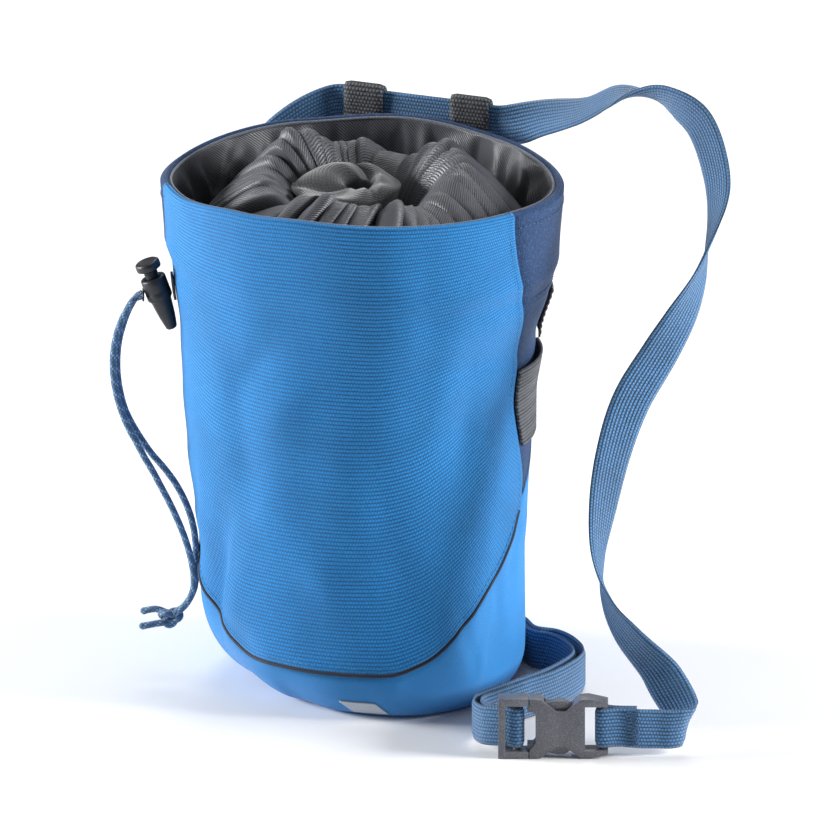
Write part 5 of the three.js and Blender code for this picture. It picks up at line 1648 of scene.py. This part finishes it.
class CHALK_OT_cords(bpy.types.Operator):
    """Two braided strands of drawcord and the overhand knot that joins them"""

    bl_idname = "chalk.cords"
    bl_label = "Drawcord"

    def execute(self, context):
        t = np.linspace(0, 2 * math.pi, 150, endpoint=False)
        knot_curve = np.stack(
            [np.sin(t) + 2 * np.sin(2 * t), np.cos(t) - 2 * np.cos(2 * t), -np.sin(3 * t) * 1.25], -1
        )
        knot_curve = knot_curve * (1.28, 1.0, 1.02)
        c, s = math.cos(math.radians(CORD_PLANE)), math.sin(math.radians(CORD_PLANE))
        out, side, up = np.array((c, s, 0.0)), np.array((-s, c, 0.0)), np.array((0.0, 0.0, 1.0))
        tilted = knot_curve[:, :1] * out + knot_curve[:, 2:] * side + knot_curve[:, 1:2] * up
        parts = [
            tube_object("knot_turns", tilted + np.array(KNOT_MIDDLE), CORD_DIAMETER / 2, sides=14, closed=True)
        ]
        tails = (
            ((68.4, 23.4, -1.0), (70.5, 23.6, -1.2), (75, 24.8, -2), (80.5, 23.6, -2.6)),
            ((68.4, 21.2, 1.0), (70.5, 21, 1.2), (75.5, 20.4, 1.8), (81, 19.4, 2)),
        )
        for k, tail in enumerate(tails):
            points = catmull_centripetal([in_cord_plane(*p) for p in tail], 40)
            radii = np.full(40, CORD_DIAMETER / 2)
            radii[-5:] *= (1.0, 1.06, 1.04, 0.85, 0.4)
            parts.append(tube_object(f"tail_{k}", points, CORD_DIAMETER / 2, sides=14, radii=radii))
        knot = joined("cord_knot_turns", parts)
        finish_piece(knot, FINISHES["cord"], BAG, "cord", "cord_knot")
        for name, rows, offset in (("front", FRONT_STRAND, -1), ("back", BACK_STRAND, 1)):
            route = [in_cord_plane(r, z, offset * CORD_SPREAD / 2) for r, z in rows]
            points = catmull_centripetal(route, 260)
            strand = tube_object(f"drawcord_{name}_strand", points, CORD_DIAMETER / 2, sides=14)
            finish_piece(strand, FINISHES["cord"], BAG, "cord", f"drawcord_{name}")
        return {"FINISHED"}


class CHALK_OT_stitching(bpy.types.Operator):
    """Rows of stitches along the seams, the rim and the trim"""

    bl_idname = "chalk.stitching"
    bl_label = "Stitching"

    def execute(self, context):
        pitch = context.scene.chalk_sizes.stitch_pitch / MM
        away = np.linspace(-91, 91, 220)
        lower = bag_point(FRONT + away, base_edge_height(away) + STITCH_OFFSET, -0.1)
        # Painted shadow: a thin dark tube along the front's lower seam, where the front panel's edge shades the
        # base.
        seam = tube_object(
            "front_seam_shadow", bag_point(FRONT + away, base_edge_height(away) - 0.6, -0.35), 0.7, 8
        )
        finish_piece(seam, FINISHES["seam_shadow"], BAG, "shell_azure")
        sides = []
        for side in (-1, 1):
            height = np.linspace(base_edge_height(SIDE_SEAM[0, 1]) + 4, BAG_HEIGHT - 10, 120)
            angle = FRONT + side * (side_seam_away(height) - math.degrees(2.4 / (RIM_WIDTH / 2)))
            sides.append(bag_point(angle, height, -0.1))
        stitches("front_seam_stitches", [lower, *sides], "azure_thread", "shell_azure", pitch=pitch)
        away = np.linspace(72, 288, 260)
        rim = [bag_point(FRONT + away, rim_height(FRONT + away) - 6.0, -0.95)]
        yoke = [bag_point(FRONT + away[12:-12], BAG_HEIGHT - YOKE_HEIGHT + 4.0, -0.95)]
        away = np.linspace(94, 266, 240)
        foot = [bag_point(FRONT + away, base_edge_height(away) + STITCH_OFFSET, -0.1)]
        stitches("back_seam_stitches", rim + yoke + foot, "navy_thread", "shell_blue", pitch=pitch)
        edges = []
        low, high = TAPE_LOW + 1.4, TAPE_TOP - 1.4
        for height in (low, high):
            edges.append(bag_point(np.linspace(15, 165, 200), height, -1.95))
        for angle in (15.0, 165.0):
            edges.append(bag_point(angle, np.linspace(low, high, 20), -1.95))
        stitches("tape_stitches", edges, "dark_thread", "black_tape", pitch=pitch)
        return {"FINISHED"}


class CHALK_OT_finishes(bpy.types.Operator):
    """Every finish of the bag: cloths, webbing, cord, mouldings and threads"""

    bl_idname = "chalk.finishes"
    bl_label = "Finishes"

    def execute(self, context):
        make_finishes(context.scene.chalk_colours)
        return {"FINISHED"}


class CHALK_OT_stage(bpy.types.Operator):
    """Pale floor, soft light and the camera"""

    bl_idname = "chalk.stage"
    bl_label = "Stage"

    def execute(self, context):
        scene = context.scene
        turn, lift = math.radians(VIEW_TURN), math.radians(VIEW_LIFT)
        across = Vector((math.cos(turn), math.sin(turn), 0))
        towards = Vector((math.sin(turn) * math.cos(lift), -math.cos(turn) * math.cos(lift), math.sin(lift)))
        up = towards.cross(across)
        middle = across * VIEW_ACROSS * MM + up * VIEW_UP * MM
        camera_data = bpy.data.cameras.new("Camera")
        camera_data.type = "ORTHO"
        camera_data.ortho_scale = VIEW_PIXELS / PIXELS_PER_MM * MM
        camera_data.clip_start, camera_data.clip_end = 0.05, 20.0
        camera = bpy.data.objects.new("Camera", camera_data)
        camera.location = middle + towards * 1.6
        camera.rotation_euler = towards.to_track_quat("Z", "Y").to_euler()
        scene.collection.objects.link(camera)
        scene.camera = camera
        scene.view_settings.view_transform = "Standard"
        corners = [(x * FLOOR_REACH, y * FLOOR_REACH, 0) for x, y in ((-1, -1), (1, -1), (1, 1), (-1, 1))]
        floor = mesh_object("floor", corners, [(0, 1, 2, 3)])
        material, s, shader, _, place = new_material("Pale floor")
        soft = s.noise(place, 3.0)
        s.feed(shader["Base Color"], s.mix(soft, (0.9, 0.9, 0.91), (0.93, 0.93, 0.93)))
        s.feed(shader["Roughness"], s.math("MULTIPLY_ADD", soft, 0.1, 0.75))
        floor.data.materials.append(material)
        world = bpy.data.worlds.new("Studio")
        world.use_nodes = True
        background = world.node_tree.nodes["Background"].inputs
        background["Color"].default_value = (1.0, 1.0, 1.0, 1.0)
        background["Strength"].default_value = 0.2
        scene.world = world
        lights = (
            ("Left softbox", (-1.25, -0.34, 0.42), (0, 0, 0.1), 0.4, 28.0),
            ("Right softbox", (1.25, 0.2, 0.5), (0, 0, 0.1), 0.4, 24.0),
            ("Top softbox", (-0.15, 0.1, 1.35), (0, 0, 0.1), 0.4, 2.5),
            ("Rear softbox", (-0.3, 0.95, 1.0), (-0.3, 0.75, 0), 0.6, 5.5),
        )
        for name, place, aim, size, energy in lights:
            data = bpy.data.lights.new(name, "AREA")
            data.size = size
            data.energy = energy
            lamp = bpy.data.objects.new(name, data)
            lamp.location = place
            lamp.rotation_euler = (Vector(place) - Vector(aim)).to_track_quat("Z", "Y").to_euler()
            scene.collection.objects.link(lamp)
        return {"FINISHED"}


class CHALK_PT_panel(bpy.types.Panel):
    """Lists the bag's sizes, colours and pieces"""

    bl_idname = "CHALK_PT_panel"
    bl_label = "Chalk bag"
    bl_space_type = "VIEW_3D"
    bl_region_type = "UI"
    bl_category = "Chalk bag"

    def draw(self, context):
        for group in (context.scene.chalk_sizes, context.scene.chalk_colours):
            box = self.layout.box()
            for name in group.__annotations__:
                box.prop(group, name)
        for operator in OPERATORS:
            self.layout.operator(operator.bl_idname)


OPERATORS = (
    CHALK_OT_stage,
    CHALK_OT_finishes,
    CHALK_OT_cords,
    CHALK_OT_shell,
    CHALK_OT_trim,
    CHALK_OT_lining,
    CHALK_OT_collar,
    CHALK_OT_mouth,
    CHALK_OT_belt,
    CHALK_OT_buckle,
    CHALK_OT_cord_lock,
    CHALK_OT_stitching,
)
CLASSES = (ChalkBagSizes, ChalkBagColours, *OPERATORS, CHALK_PT_panel)


def register():
    for each in CLASSES:
        bpy.utils.register_class(each)
    bpy.types.Scene.chalk_sizes = bpy.props.PointerProperty(type=ChalkBagSizes)
    bpy.types.Scene.chalk_colours = bpy.props.PointerProperty(type=ChalkBagColours)


def unregister():
    del bpy.types.Scene.chalk_colours
    del bpy.types.Scene.chalk_sizes
    for each in reversed(CLASSES):
        bpy.utils.unregister_class(each)


def main():
    register()
    for operator in OPERATORS:
        getattr(bpy.ops.chalk, operator.bl_idname.split(".")[1])()


if __name__ == "__main__":
    main()
